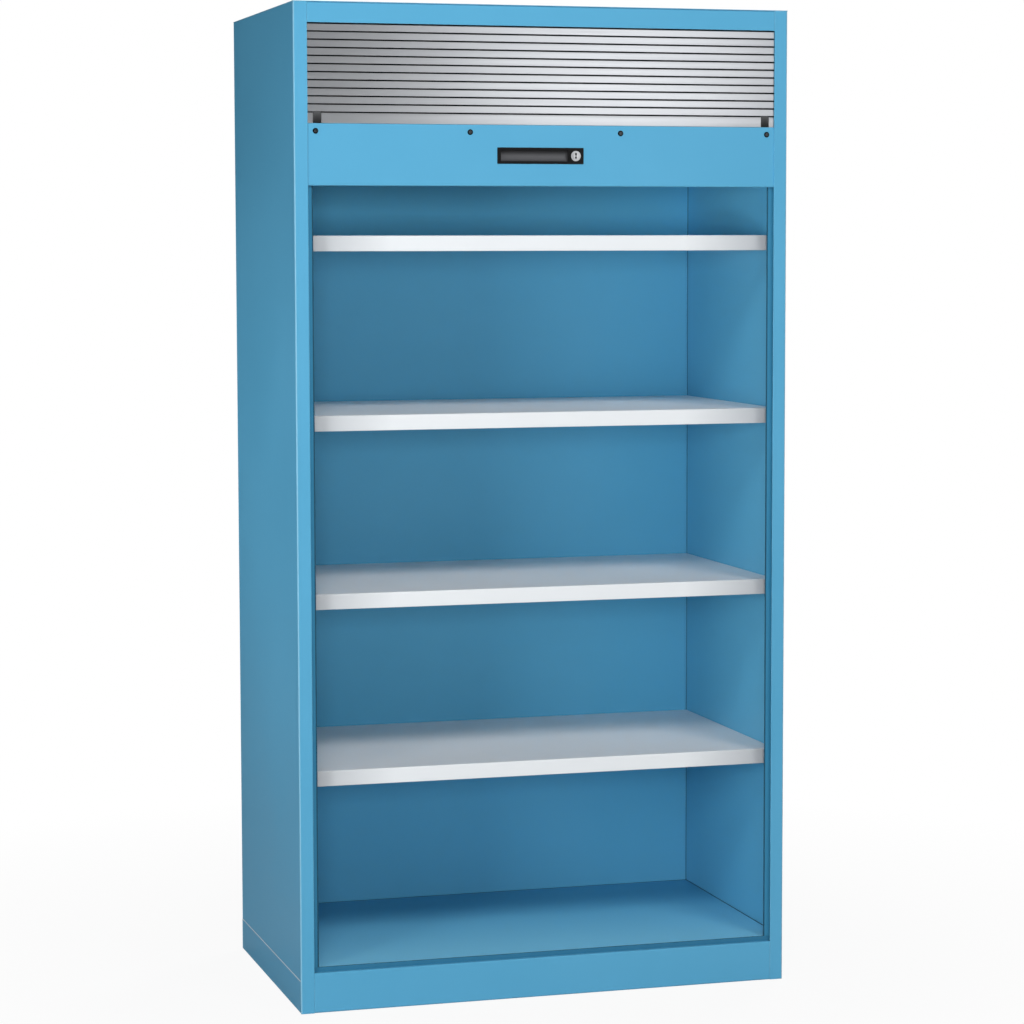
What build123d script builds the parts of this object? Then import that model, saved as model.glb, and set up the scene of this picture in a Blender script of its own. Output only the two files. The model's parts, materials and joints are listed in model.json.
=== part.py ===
from build123d import *
import math
import os

os.makedirs("parts", exist_ok=True)

# ----------------------------------------------------------------------------
# Driving dimensions, in millimetres. X is the width, Y runs from the front to
# the back, Z is up. The origin is on the floor, in the middle of the footprint.
# ----------------------------------------------------------------------------
width = 1000
depth = 580
height = 1950
body_sheet = 1.5
inner_sheet = 1.2
bend_radius = 3.0
inner_bend = 2.0
touch_gap = 0.3
slide_gap = 0.6
running = 0.05

# Front frame and plinth
stile_width = 27
top_rail_height = 40
bottom_rail_height = 79
back_flange = 20
roof_flange = 18
rail_flange = 18
plinth_height = 64
plinth_seam = 1.6
foot_flange = 25

# Floor
floor_rise = 9.5
floor_flange = 28
floor_beam_width = 40

# Guide channels
front_track = 8.0
guide_lip_cover = 11
rear_lip = 22.5
guide_head_room = 6

# Curtain slats
slat_pitch = 15.22
slat_face = 12.8
slat_wall = 1.0
slat_depth = 4.5
slat_end_gap = 15.5
slat_recess = 1.5
slat_lip = 2.9
slat_lip_rise = 1.5
slat_lip_wall = 0.8
hook_gap = 0.28
front_slats = 12

# End bar, end panel and their small parts
end_bar_face = 19.9
end_bar_tail = 24
panel_height = 118
panel_recess = 0.5
panel_depth = 6.3
panel_lip = 9
panel_rest_gap = 1.5
screw_count = 4
screw_inset = 25.5
screw_drop = 14.5
screw_head = 11
screw_head_height = 1.8
screw_shank = 5
screw_length = 4.5
buffer_width = 16
buffer_inset = 29
buffer_proud = 1.0
buffer_chamfer = 1.5

# Handle
handle_width = 175
handle_height = 31.5
handle_shift = -11
bezel_proud = 1.2
bezel_overlap = 2.0
bezel_corner = 1.2
bezel_edge = 0.5
handle_plug_depth = 2.5
handle_plug_gap = 0.2
grip_width = 135
grip_height = 21
grip_shift = -13
grip_wall = 1.8

# Lock
lock_shift = 71.5
collar_diameter = 20
collar_proud = 0.6
collar_body = 17
plug_diameter = 14
plug_proud = 0.2
keyway_width = 2.0
keyway_length = 8.0
keyway_depth = 2.4
key_eye = 3.4
spindle_diameter = 8
cam_radius = 11
cam_pin = 4
cam_thickness = 1.4
cam_width = 9
cam_rest_angle = 135
pin_gap = 0.6
rod_thickness = 2.0
rod_width = 10
fork_wall = 2.5
left_rod_drop = 31
rod_end_gap = 7.5
staple_width = 12
staple_wall = 1.2
staple_inset = 35.5
staple_spacing = 240
keeper_wall = 4.0
keeper_reach = 13.5

# Winding shaft in the head
cover_drop = 10
cover_depth = 150
axle_diameter = 14
axle_drop = 68.5
axle_setback = 91
tube_outer = 48
tube_wall = 3
tube_end_gap = 23
tube_plug_length = 24
tube_plug_flange = 3
hub_diameter = 76
hub_width = 30
hub_spacing = 300
hub_count = 3
strap_width = 22
strap_sheet = 0.8
strap_tail = 34
spring_wire = 3.0
spring_turns = 6
spring_pitch = 6.0
spring_runs = 12
bracket_sheet = 3.0
bracket_size = 64
bracket_foot = 15
bracket_inset = 20

# Shelves
shelf_count = 4
shelf_pitch = 346.4
top_shelf_drop = 104.7
shelf_lip = 30
shelf_lip_return = 12
shelf_back_gap = 0.5
clip_width = 18
clip_reach = 14
clip_height = 16
clip_tip = 3
clip_inset = 60
clip_gap = 1.0

# ----------------------------------------------------------------------------
# Places worked out from the driving dimensions
# ----------------------------------------------------------------------------
front = -depth / 2
back = depth / 2
side = width / 2
inner_side = side - body_sheet
wall_top = height - body_sheet
opening_half = side - stile_width
floor_beam_spacing = width / 2
opening_top = height - top_rail_height
stile_back = front + body_sheet
inner_back = back - 2 * body_sheet
floor_top = bottom_rail_height + floor_rise

guide_front = stile_back + front_track
guide_back = guide_front + inner_sheet
guide_inner = opening_half - guide_lip_cover

# The curtain hangs from behind the top rail, and its lowest slat is the end bar.
slat_half = inner_side - slat_end_gap
slat_front = stile_back + slat_recess
slat_joint = slat_pitch - slat_face
curtain_top = opening_top + slat_pitch
slats_bottom = curtain_top - front_slats * slat_pitch
panel_top = slats_bottom - slat_joint - end_bar_face
panel_bottom = panel_top - panel_height
panel_front = stile_back + panel_recess
panel_back = panel_front + inner_sheet
travel = panel_bottom - bottom_rail_height - panel_rest_gap
screw_spacing = 2 * (slat_half - screw_inset) / (screw_count - 1)
buffer_spacing = 2 * (slat_half - buffer_inset)

handle_x = handle_shift
handle_z = (panel_top + panel_bottom) / 2
bezel_front = panel_front - bezel_proud
grip_x = handle_x + grip_shift
grip_radius = grip_height / 2
housing_back = bezel_front + grip_radius + grip_wall

# The rest of the curtain is stored as leaves of slats, one behind the other.
leaf_slats = math.floor((curtain_top - panel_bottom) / slat_pitch)
leaf_bottom = curtain_top - leaf_slats * slat_pitch
leaf_count = math.ceil(travel / ((leaf_slats - 1) * slat_pitch))
layer_pitch = slat_depth + slide_gap
leaf_front = max(housing_back, guide_back) + slide_gap
store_back = leaf_front + (leaf_count - 1) * layer_pitch + slat_depth
rear_lip_back = store_back + slide_gap + inner_sheet
shelf_front = rear_lip_back + slide_gap

lock_x = handle_x + lock_shift
plug_back = panel_front + handle_plug_depth
rod_front = plug_back + touch_gap
rod_back = rod_front + rod_thickness
cam_front = rod_back + touch_gap
cam_back = cam_front + cam_thickness
pin_offset = cam_radius * math.sin(math.radians(cam_rest_angle))
pin_slot = cam_pin + 2 * pin_gap
fork_inner = spindle_diameter / 2 + slide_gap
fork_outer = fork_inner + rod_width
left_rod_z = handle_z - left_rod_drop
right_rod_z = handle_z + fork_outer - rod_width / 2
rod_end = slat_half - rod_end_gap
staple_outer_x = rod_end - staple_inset
staple_inner_x = staple_outer_x - staple_spacing

cover_bottom = panel_bottom + cover_drop
cover_back = front + cover_depth
axle_y = front + axle_setback
axle_height = wall_top - axle_drop
shelf_back = inner_back - shelf_back_gap
top_shelf = cover_bottom - top_shelf_drop


def save(builder, label):
    """Labels a finished piece and writes its file."""
    builder.part.label = label
    export_step(builder.part, f"parts/{label}.step")


def face_at(y):
    """A sketch plane at depth y, with X to the right and Z up. It extrudes to the front."""
    return Plane.XZ.offset(-y)


def section_at(x):
    """A sketch plane at width x, with Y to the right and Z up. It extrudes towards +X."""
    return Plane.YZ.offset(x)


def sheet_section(points, thickness, radius, bend_side):
    """Draws the section of one bent sheet: a line with rounded bends, thickened to one side."""
    with BuildLine() as outline:
        FilletPolyline(*points, radius=radius)
        offset(amount=thickness, side=bend_side)
    make_face(outline.edges())


def rectangle_between(low, high, mode=Mode.ADD):
    """Draws a rectangle from its low corner to its high corner."""
    with Locations(((low[0] + high[0]) / 2, (low[1] + high[1]) / 2)):
        Rectangle(high[0] - low[0], high[1] - low[1], mode=mode)


# ----------------------------------------------------------------------------
# Carcass
# ----------------------------------------------------------------------------
def make_side_wall(hand, label):
    """One sheet, bent round both vertical edges: front stile, wall and back flange."""
    stile_edge = (hand * opening_half, front)
    front_corner = (hand * side, front)
    back_corner = (hand * side, back)
    flange_edge = (hand * (side - back_flange), back)
    inwards = Side.LEFT if hand > 0 else Side.RIGHT
    with BuildPart() as wall:
        with BuildSketch(Plane.XY):
            corners = [stile_edge, front_corner, back_corner, flange_edge]
            sheet_section(corners, body_sheet, bend_radius, inwards)
        extrude(amount=wall_top)
        # The wall stops above the plinth, and only the stile runs down to the floor.
        with BuildSketch(Plane.XY):
            rectangle_between((-side, front + bend_radius), (side, back))
        extrude(amount=plinth_height + plinth_seam, mode=Mode.SUBTRACT)
    save(wall, label)


make_side_wall(-1, "side_wall_left")
make_side_wall(1, "side_wall_right")

with BuildPart() as back_panel:
    panel_half = inner_side - bend_radius
    with BuildSketch(Plane.XY.offset(plinth_height)):
        rectangle_between((-panel_half, inner_back), (panel_half, inner_back + body_sheet))
    extrude(amount=wall_top - plinth_height)
save(back_panel, "back_panel")

with BuildPart() as roof_panel:
    with BuildSketch(Plane.XY.offset(wall_top)):
        Rectangle(width, depth)
    extrude(amount=body_sheet)
    fillet(roof_panel.faces().sort_by(Axis.Z)[-1].edges(), radius=body_sheet / 2)
    # Weld flanges hang inside the walls, at both sides and at the back.
    with BuildSketch(Plane.XY.offset(wall_top)):
        flange_half = inner_side - body_sheet
        rectangle_between((-inner_side, shelf_front), (inner_side, inner_back))
        rectangle_between((-flange_half, shelf_front), (flange_half, inner_back - body_sheet), Mode.SUBTRACT)
    extrude(amount=-roof_flange)
save(roof_panel, "roof_panel")

with BuildPart() as top_rail:
    with BuildSketch(section_at(-opening_half)):
        sheet_section(
            [(front, opening_top), (front, wall_top), (front + rail_flange, wall_top)],
            body_sheet,
            bend_radius,
            Side.RIGHT,
        )
    extrude(amount=2 * opening_half)
save(top_rail, "top_rail")

with BuildPart() as bottom_rail:
    with BuildSketch(section_at(-opening_half)):
        sheet_section(
            [
                (front + foot_flange, 0),
                (front, 0),
                (front, bottom_rail_height),
                (guide_front, bottom_rail_height),
            ],
            body_sheet,
            bend_radius,
            Side.RIGHT,
        )
    extrude(amount=2 * opening_half)
save(bottom_rail, "bottom_rail")


def make_plinth_side(hand, label):
    """The upright of the plinth below one wall, with a flange turned in to stand on."""
    flange_edge = (hand * (side - foot_flange), 0)
    foot = (hand * side, 0)
    top = (hand * side, plinth_height)
    inwards = Side.LEFT if hand > 0 else Side.RIGHT
    with BuildPart() as plinth:
        with BuildSketch(face_at(back)):
            sheet_section([flange_edge, foot, top], body_sheet, bend_radius, inwards)
        extrude(amount=depth - bend_radius - touch_gap)
    save(plinth, label)


make_plinth_side(-1, "plinth_left")
make_plinth_side(1, "plinth_right")

with BuildPart() as plinth_back:
    with BuildSketch(section_at(-inner_side)):
        corners = [(back - foot_flange, 0), (back, 0), (back, plinth_height - touch_gap)]
        sheet_section(corners, body_sheet, bend_radius, Side.LEFT)
    extrude(amount=2 * inner_side)
    # The corners of its flange are cut away where the flanges of the sides pass.
    with BuildSketch(Plane.XY):
        with GridLocations(2 * inner_side, 2 * back, 2, 2):
            Rectangle(2 * (foot_flange + touch_gap), 2 * foot_flange + bend_radius)
    extrude(amount=bend_radius + touch_gap, mode=Mode.SUBTRACT)
save(plinth_back, "plinth_back")

with BuildPart() as floor_panel:
    floor_half = inner_side - touch_gap
    with BuildSketch(Plane.XY.offset(floor_top)):
        rectangle_between((-floor_half, guide_front), (floor_half, inner_back - touch_gap))
    extrude(amount=-floor_flange)
    offset(amount=-inner_sheet, openings=floor_panel.faces().sort_by(Axis.Z)[0])
save(floor_panel, "floor_panel")

with BuildPart() as floor_beams:
    with BuildSketch(face_at(guide_back + touch_gap)):
        with Locations((0, floor_top - inner_sheet - floor_flange / 2)):
            with GridLocations(floor_beam_spacing, 1, 2, 1):
                Rectangle(floor_beam_width, floor_flange)
        with Locations((0, floor_top - inner_sheet - floor_flange / 2 - inner_sheet)):
            with GridLocations(floor_beam_spacing, 1, 2, 1):
                Rectangle(floor_beam_width - 2 * inner_sheet, floor_flange, mode=Mode.SUBTRACT)
    extrude(amount=-(inner_back - 2 * touch_gap - inner_sheet - guide_back - touch_gap))
save(floor_beams, "floor_beams")


# ----------------------------------------------------------------------------
# Guide channels: the front lip parts the track of the end panel from the store
# ----------------------------------------------------------------------------
def make_guide(hand, label):
    """A channel on the wall, with a wide front lip and a narrow rear lip."""
    front_lip = (hand * guide_inner, guide_front)
    front_corner = (hand * inner_side, guide_front)
    rear_corner = (hand * inner_side, rear_lip_back)
    rear_edge = (hand * (inner_side - rear_lip), rear_lip_back)
    inwards = Side.LEFT if hand > 0 else Side.RIGHT
    with BuildPart() as guide:
        with BuildSketch(Plane.XY.offset(floor_top)):
            sheet_section([front_lip, front_corner, rear_corner, rear_edge], inner_sheet, inner_bend, inwards)
        extrude(amount=curtain_top + guide_head_room - floor_top)
    save(guide, label)


make_guide(-1, "guide_left")
make_guide(1, "guide_right")


# ----------------------------------------------------------------------------
# Curtain. Each slat hangs by the hook of its top in the lip of the slat above.
# ----------------------------------------------------------------------------
def hook_points(face_top):
    """The web, tongue and hook at the top of a slat, as depth and height, from the face to the back wall."""
    tongue_back = slat_depth
    tongue_front = slat_depth - slat_wall
    hook_bottom = face_top + slat_joint + slat_lip_rise + hook_gap
    hook_top = hook_bottom + slat_lip_wall
    return [
        (0, face_top),
        (tongue_front, face_top),
        (tongue_front, hook_bottom),
        (slat_wall + hook_gap, hook_bottom),
        (slat_wall + hook_gap, hook_top),
        (tongue_back, hook_top),
        (tongue_back, face_top - slat_wall),
        (slat_wall, face_top - slat_wall),
    ]


def slat_points():
    """The section of one slat, with its face at depth 0 and its lower edge at height 0."""
    lip = [
        (slat_wall, slat_lip_wall),
        (slat_lip - slat_lip_wall, slat_lip_wall),
        (slat_lip - slat_lip_wall, slat_lip_rise),
        (slat_lip, slat_lip_rise),
        (slat_lip, 0),
        (0, 0),
    ]
    return hook_points(slat_face) + lip


def make_slats(count, bottom, face_y, label):
    """A run of slats of full length, which stay separate solids."""
    with BuildPart() as slats:
        with BuildSketch(section_at(-slat_half)):
            with BuildSketch(Plane.XY, mode=Mode.PRIVATE) as section:
                with BuildLine():
                    Polyline(*slat_points(), close=True)
                make_face()
            with Locations([(face_y, bottom + number * slat_pitch) for number in range(count)]):
                add(section.sketch)
        extrude(amount=2 * slat_half)
    save(slats, label)


make_slats(front_slats, slats_bottom, slat_front, "curtain_front")
for leaf in range(leaf_count):
    make_slats(leaf_slats, leaf_bottom, leaf_front + leaf * layer_pitch, f"curtain_leaf_{leaf + 1}")

# ----------------------------------------------------------------------------
# End bar and end panel
# ----------------------------------------------------------------------------
tail_recess = panel_back + touch_gap - slat_front
tail_points = [
    (tail_recess + slat_wall, slat_wall - end_bar_tail),
    (slat_depth, slat_wall - end_bar_tail),
    (slat_depth, -end_bar_tail),
    (tail_recess, -end_bar_tail),
    (tail_recess, touch_gap),
    (0, touch_gap),
]
inner_corner = (tail_recess + slat_wall, end_bar_face - slat_wall)
end_bar_points = hook_points(end_bar_face)[:-1] + [inner_corner] + tail_points

with BuildPart() as end_bar:
    with BuildSketch(section_at(-slat_half)):
        with BuildLine():
            Polyline(*[(slat_front + y, panel_top + z) for y, z in end_bar_points], close=True)
        make_face()
    extrude(amount=2 * slat_half)
    # Notches for the stop buffers, and the holes of the panel screws.
    with BuildSketch(face_at(slat_front + slat_depth)):
        with GridLocations(buffer_spacing, 1, 2, 1):
            with Locations((0, panel_top + touch_gap + slat_pitch)):
                Rectangle(buffer_width + 2 * touch_gap, 2 * slat_pitch)
        with GridLocations(screw_spacing, 1, screw_count, 1):
            with Locations((0, panel_top - screw_drop)):
                Circle(screw_shank / 2 + running)
    extrude(amount=slat_depth, mode=Mode.SUBTRACT)
save(end_bar, "end_bar")

with BuildPart() as stop_buffers:
    with BuildSketch(face_at(slat_front + slat_depth)):
        with GridLocations(buffer_spacing, 1, 2, 1):
            with Locations((0, (panel_top + slats_bottom) / 2)):
                Rectangle(buffer_width, slats_bottom - panel_top - 2 * touch_gap)
    extrude(amount=slat_depth + buffer_proud)
    chamfer(stop_buffers.faces().filter_by(Axis.Y).sort_by(Axis.Y)[:2].edges(), length=buffer_chamfer / 2)
save(stop_buffers, "stop_buffers")

with BuildPart() as end_panel:
    with BuildSketch(section_at(-slat_half)):
        sheet_section(
            [
                (panel_front, panel_top),
                (panel_front, panel_bottom),
                (panel_front + panel_depth, panel_bottom),
                (panel_front + panel_depth, panel_bottom + panel_lip),
            ],
            inner_sheet,
            inner_bend,
            Side.LEFT,
        )
    extrude(amount=2 * slat_half)
    with BuildSketch(face_at(panel_back)):
        with Locations((handle_x, handle_z)):
            Rectangle(handle_width - 2 * bezel_overlap, handle_height - 2 * bezel_overlap)
        with GridLocations(screw_spacing, 1, screw_count, 1):
            with Locations((0, panel_top - screw_drop)):
                Circle(screw_shank / 2 + running)
    extrude(amount=inner_sheet, mode=Mode.SUBTRACT)
save(end_panel, "end_panel")

with BuildPart() as panel_screws:
    with BuildSketch(face_at(panel_front)):
        with GridLocations(screw_spacing, 1, screw_count, 1):
            with Locations((0, panel_top - screw_drop)):
                Circle(screw_head / 2)
    extrude(amount=screw_head_height)
    with BuildSketch(face_at(panel_front)):
        with GridLocations(screw_spacing, 1, screw_count, 1):
            with Locations((0, panel_top - screw_drop)):
                Circle(screw_shank / 2)
    extrude(amount=-screw_length)
save(panel_screws, "panel_screws")

# ----------------------------------------------------------------------------
# Handle housing: a bezel on the panel, a finger trough and the seat of the lock
# ----------------------------------------------------------------------------
with BuildPart() as handle_housing:
    with BuildSketch(face_at(panel_front)):
        with Locations((handle_x, handle_z)):
            RectangleRounded(handle_width, handle_height, bezel_corner)
    extrude(amount=bezel_proud)
    chamfer(handle_housing.faces().sort_by(Axis.Y)[0].edges(), length=bezel_edge)
    with BuildSketch(face_at(panel_front)):
        with Locations((handle_x, handle_z)):
            Rectangle(
                handle_width - 2 * (bezel_overlap + handle_plug_gap),
                handle_height - 2 * (bezel_overlap + handle_plug_gap),
            )
    extrude(amount=-handle_plug_depth)
    with BuildSketch(section_at(grip_x - grip_width / 2 - grip_wall)):
        with Locations((bezel_front, handle_z)):
            Circle(grip_radius + grip_wall)
            beside_trough = 2 * grip_radius
            rectangle_between((-beside_trough, -beside_trough), (bezel_proud, beside_trough), Mode.SUBTRACT)
    extrude(amount=grip_width + 2 * grip_wall)
    with BuildSketch(section_at(grip_x - grip_width / 2)):
        with Locations((bezel_front, handle_z)):
            Circle(grip_radius)
    extrude(amount=grip_width, mode=Mode.SUBTRACT)
    with BuildSketch(face_at(plug_back)):
        with Locations((lock_x, handle_z)):
            Circle(collar_body / 2 + running)
    extrude(amount=plug_back - bezel_front, mode=Mode.SUBTRACT)
save(handle_housing, "handle_housing")

# ----------------------------------------------------------------------------
# Lock: collar, turning plug with its cam, two rods, their staples and keepers
# ----------------------------------------------------------------------------
with BuildPart() as lock_collar:
    with BuildSketch(face_at(bezel_front)):
        with Locations((lock_x, handle_z)):
            Circle(collar_diameter / 2)
    extrude(amount=collar_proud)
    with BuildSketch(face_at(bezel_front)):
        with Locations((lock_x, handle_z)):
            Circle(collar_body / 2)
    extrude(amount=bezel_front - plug_back)
    with BuildSketch(face_at(plug_back)):
        with Locations((lock_x, handle_z)):
            Circle(plug_diameter / 2 + running)
    extrude(amount=plug_back - bezel_front + collar_proud, mode=Mode.SUBTRACT)
save(lock_collar, "lock_collar")

plug_front = bezel_front - collar_proud - plug_proud
with BuildPart() as lock_plug:
    with BuildSketch(face_at(plug_back)):
        with Locations((lock_x, handle_z)):
            Circle(plug_diameter / 2)
    extrude(amount=plug_back - plug_front)
    with BuildSketch(face_at(plug_back)):
        with Locations((lock_x, handle_z)):
            Circle(spindle_diameter / 2)
    extrude(amount=plug_back - cam_back)
    # The keyway is a slot with a round eye at its upper end.
    with BuildSketch(face_at(plug_front)):
        with Locations((lock_x, handle_z)):
            Rectangle(keyway_width, keyway_length)
        with Locations((lock_x, handle_z + keyway_length / 2 - key_eye / 2)):
            Circle(key_eye / 2)
    extrude(amount=-keyway_depth, mode=Mode.SUBTRACT)
save(lock_plug, "lock_plug")

with BuildPart() as lock_cam:
    with BuildSketch(face_at(cam_back)):
        with Locations(Location((lock_x, handle_z), cam_rest_angle)):
            SlotCenterToCenter(2 * cam_radius, cam_width)
        with Locations((lock_x, handle_z)):
            Circle(spindle_diameter / 2 + running, mode=Mode.SUBTRACT)
    extrude(amount=cam_thickness)
    with BuildSketch(face_at(cam_front)):
        upper_pin = (lock_x - pin_offset, handle_z + pin_offset)
        lower_pin = (lock_x + pin_offset, handle_z - pin_offset)
        with Locations(upper_pin, lower_pin):
            Circle(cam_pin / 2)
    extrude(amount=cam_front - rod_front)
save(lock_cam, "lock_cam")


def make_rod(hand, rod_z, label):
    """A flat rod with a fork round one pin of the cam, which leads out to one end of the panel."""
    fork_x = lock_x - hand * pin_offset
    fork_half = pin_slot / 2 + fork_wall
    fork_low = (fork_x - fork_half, min(handle_z + hand * fork_inner, rod_z - rod_width / 2))
    fork_high = (fork_x + fork_half, max(handle_z + hand * fork_inner, rod_z + rod_width / 2))
    bar_low = (min(fork_x, hand * rod_end), rod_z - rod_width / 2)
    bar_high = (max(fork_x, hand * rod_end), rod_z + rod_width / 2)
    slot_end = handle_z + hand * (cam_radius + cam_pin / 2 + pin_gap)
    slot_low = (fork_x - pin_slot / 2, min(handle_z, slot_end))
    slot_high = (fork_x + pin_slot / 2, max(handle_z, slot_end))
    with BuildPart() as rod:
        with BuildSketch(face_at(rod_back)):
            rectangle_between(fork_low, fork_high)
            rectangle_between(bar_low, bar_high)
            rectangle_between(slot_low, slot_high, Mode.SUBTRACT)
        extrude(amount=rod_thickness)
        outer_end = rod.faces().sort_by(Axis.X)[-1 if hand > 0 else 0]
        chamfer(outer_end.edges().filter_by(Axis.Y), length=rod_thickness / 2)
    save(rod, label)


make_rod(-1, left_rod_z, "lock_rod_left")
make_rod(1, right_rod_z, "lock_rod_right")

with BuildPart() as rod_staples:
    staple_places = [
        (-staple_outer_x, left_rod_z),
        (-staple_inner_x, left_rod_z),
        (staple_inner_x, right_rod_z),
        (staple_outer_x, right_rod_z),
    ]
    with BuildSketch(face_at(rod_back + running + staple_wall)):
        with Locations(staple_places):
            Rectangle(staple_width, rod_width + 2 * (running + staple_wall))
    extrude(amount=rod_back + running + staple_wall - panel_back)
    with BuildSketch(face_at(rod_back + running)):
        with Locations(staple_places):
            Rectangle(staple_width, rod_width + 2 * running)
    extrude(amount=rod_thickness + 2 * running, mode=Mode.SUBTRACT)
save(rod_staples, "rod_staples")

with BuildPart() as lock_keepers:
    keeper_places = [(-1, left_rod_z - travel), (1, right_rod_z - travel)]
    for hand, keeper_z in keeper_places:
        with BuildSketch(face_at(guide_front)):
            with Locations((hand * (inner_side - keeper_reach / 2), keeper_z)):
                Rectangle(keeper_reach, rod_width + 2 * (slide_gap + keeper_wall))
        extrude(amount=guide_front - front - bend_radius)
        with BuildSketch(face_at(rod_back + slide_gap)):
            with Locations((hand * (inner_side - keeper_reach / 2 - keeper_wall), keeper_z)):
                Rectangle(keeper_reach, rod_width + 2 * slide_gap)
        extrude(amount=rod_thickness + 2 * slide_gap, mode=Mode.SUBTRACT)
save(lock_keepers, "lock_keepers")

# ----------------------------------------------------------------------------
# Head: cover, brackets, axle, winding tube, hubs, spring and straps
# ----------------------------------------------------------------------------
cover_half = inner_side - body_sheet - touch_gap
with BuildPart() as head_cover:
    with BuildSketch(section_at(-cover_half)):
        sheet_section(
            [(shelf_front, cover_bottom), (cover_back, cover_bottom), (cover_back, wall_top - touch_gap)],
            inner_sheet,
            inner_bend,
            Side.LEFT,
        )
    extrude(amount=2 * cover_half)
save(head_cover, "head_cover")


def make_bracket(hand, label):
    """A cheek that holds one end of the axle, bent back to a foot on the wall."""
    cheek_x = inner_side - bracket_inset
    cheek_front = axle_y - bracket_size / 2
    cheek_back = axle_y + bracket_size / 2
    outline = [
        (hand * cheek_x, cheek_front),
        (hand * cheek_x, cheek_back),
        (hand * inner_side, cheek_back),
        (hand * inner_side, cheek_back - bracket_foot),
    ]
    inwards = Side.RIGHT if hand > 0 else Side.LEFT
    with BuildPart() as bracket:
        with BuildSketch(Plane.XY.offset(axle_height - bracket_size / 2)):
            sheet_section(outline, bracket_sheet, bracket_sheet + touch_gap, inwards)
        extrude(amount=bracket_size)
        with BuildSketch(section_at(hand * cheek_x)):
            with Locations((axle_y, axle_height)):
                Circle(axle_diameter / 2 + running)
        extrude(amount=bracket_sheet, both=True, mode=Mode.SUBTRACT)
    save(bracket, label)


make_bracket(-1, "shaft_bracket_left")
make_bracket(1, "shaft_bracket_right")

axle_half = inner_side - bracket_inset + 2 * bracket_sheet
tube_half = inner_side - bracket_inset - tube_end_gap
with BuildPart() as shaft_axle:
    with BuildSketch(section_at(-axle_half)):
        with Locations((axle_y, axle_height)):
            Circle(axle_diameter / 2)
    extrude(amount=2 * axle_half)
save(shaft_axle, "shaft_axle")

with BuildPart() as winding_tube:
    with BuildSketch(section_at(-tube_half)):
        with Locations((axle_y, axle_height)):
            Circle(tube_outer / 2)
            Circle(tube_outer / 2 - tube_wall, mode=Mode.SUBTRACT)
    extrude(amount=2 * tube_half)
save(winding_tube, "winding_tube")

with BuildPart() as tube_plugs:
    for hand in (-1, 1):
        with BuildSketch(section_at(hand * tube_half)):
            with Locations((axle_y, axle_height)):
                Circle(tube_outer / 2 - tube_wall - running)
                Circle(axle_diameter / 2 + running, mode=Mode.SUBTRACT)
        extrude(amount=-hand * tube_plug_length)
        with BuildSketch(section_at(hand * tube_half)):
            with Locations((axle_y, axle_height)):
                Circle(tube_outer / 2)
                Circle(axle_diameter / 2 + running, mode=Mode.SUBTRACT)
        extrude(amount=hand * tube_plug_flange)
save(tube_plugs, "tube_plugs")

hub_places = [(hub - (hub_count - 1) / 2) * hub_spacing for hub in range(hub_count)]
with BuildPart() as winding_hubs:
    with BuildSketch(*[section_at(hub_x - hub_width / 2) for hub_x in hub_places]):
        with Locations((axle_y, axle_height)):
            Circle(hub_diameter / 2)
            Circle(tube_outer / 2 + running, mode=Mode.SUBTRACT)
    extrude(amount=hub_width)
save(winding_hubs, "winding_hubs")

# The spring is a coil of straight runs of six-sided wire, whose middles clear the axle.
run_angle = 2 * math.pi / spring_runs
coil_radius = (axle_diameter / 2 + touch_gap + spring_wire / 2) / math.cos(run_angle / 2)
coil_start = tube_half - tube_plug_length - (spring_turns + 1) * spring_pitch
coil_points = [
    (
        coil_start + step * spring_pitch / spring_runs,
        axle_y + coil_radius * math.cos(step * run_angle),
        axle_height + coil_radius * math.sin(step * run_angle),
    )
    for step in range(spring_turns * spring_runs + 1)
]
with BuildPart() as torsion_spring:
    with BuildLine():
        coil = Polyline(*coil_points)
    with BuildSketch(Plane(origin=coil @ 0, z_dir=coil % 0)):
        RegularPolygon(spring_wire / 2, 6)
    sweep(transition=Transition.RIGHT)
save(torsion_spring, "torsion_spring")

with BuildPart() as curtain_straps:
    strap_front = store_back + touch_gap + strap_sheet
    strap_inner = hub_diameter / 2 + touch_gap
    strap_top = axle_height + strap_inner
    with BuildSketch(*[section_at(hub_x - strap_width / 2) for hub_x in hub_places]):
        with BuildLine():
            upright = Line((strap_front, strap_top - strap_tail), (strap_front, strap_top))
            bridge = Line(upright @ 1, (axle_y, strap_top))
            RadiusArc(bridge @ 1, (axle_y + strap_inner, axle_height), strap_inner)
            offset(amount=strap_sheet, side=Side.LEFT)
        make_face()
    extrude(amount=strap_width)
save(curtain_straps, "curtain_straps")


# ----------------------------------------------------------------------------
# Shelves: folded pans, notched at the sides to drop over their clips
# ----------------------------------------------------------------------------
clip_places = [shelf_front + clip_inset, shelf_back - clip_inset]


def make_shelf(top, label):
    """A pan with flanges folded down, a return along the lower edge of its front lip, and four notches."""
    underside = top - inner_sheet
    lip_edge = top - shelf_lip
    shelf_half = inner_side - touch_gap
    with BuildPart() as shelf:
        with BuildSketch(Plane.XY.offset(top)):
            rectangle_between((-shelf_half, shelf_front), (shelf_half, shelf_back))
        extrude(amount=-shelf_lip)
        fillet(shelf.edges().group_by(Axis.Z)[-1], radius=inner_bend)
        offset(amount=-inner_sheet, openings=shelf.faces().sort_by(Axis.Z)[0])
        with BuildSketch(Plane.XY.offset(lip_edge)):
            rectangle_between(
                (inner_sheet - shelf_half, shelf_front + inner_sheet),
                (shelf_half - inner_sheet, shelf_front + shelf_lip_return),
            )
        extrude(amount=inner_sheet)
        with BuildSketch(section_at(-side)):
            for clip_y in clip_places:
                notch_half = clip_width / 2 + clip_gap
                rectangle_between((clip_y - notch_half, lip_edge), (clip_y + notch_half, underside))
        extrude(amount=width, mode=Mode.SUBTRACT)
    save(shelf, label)


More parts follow.
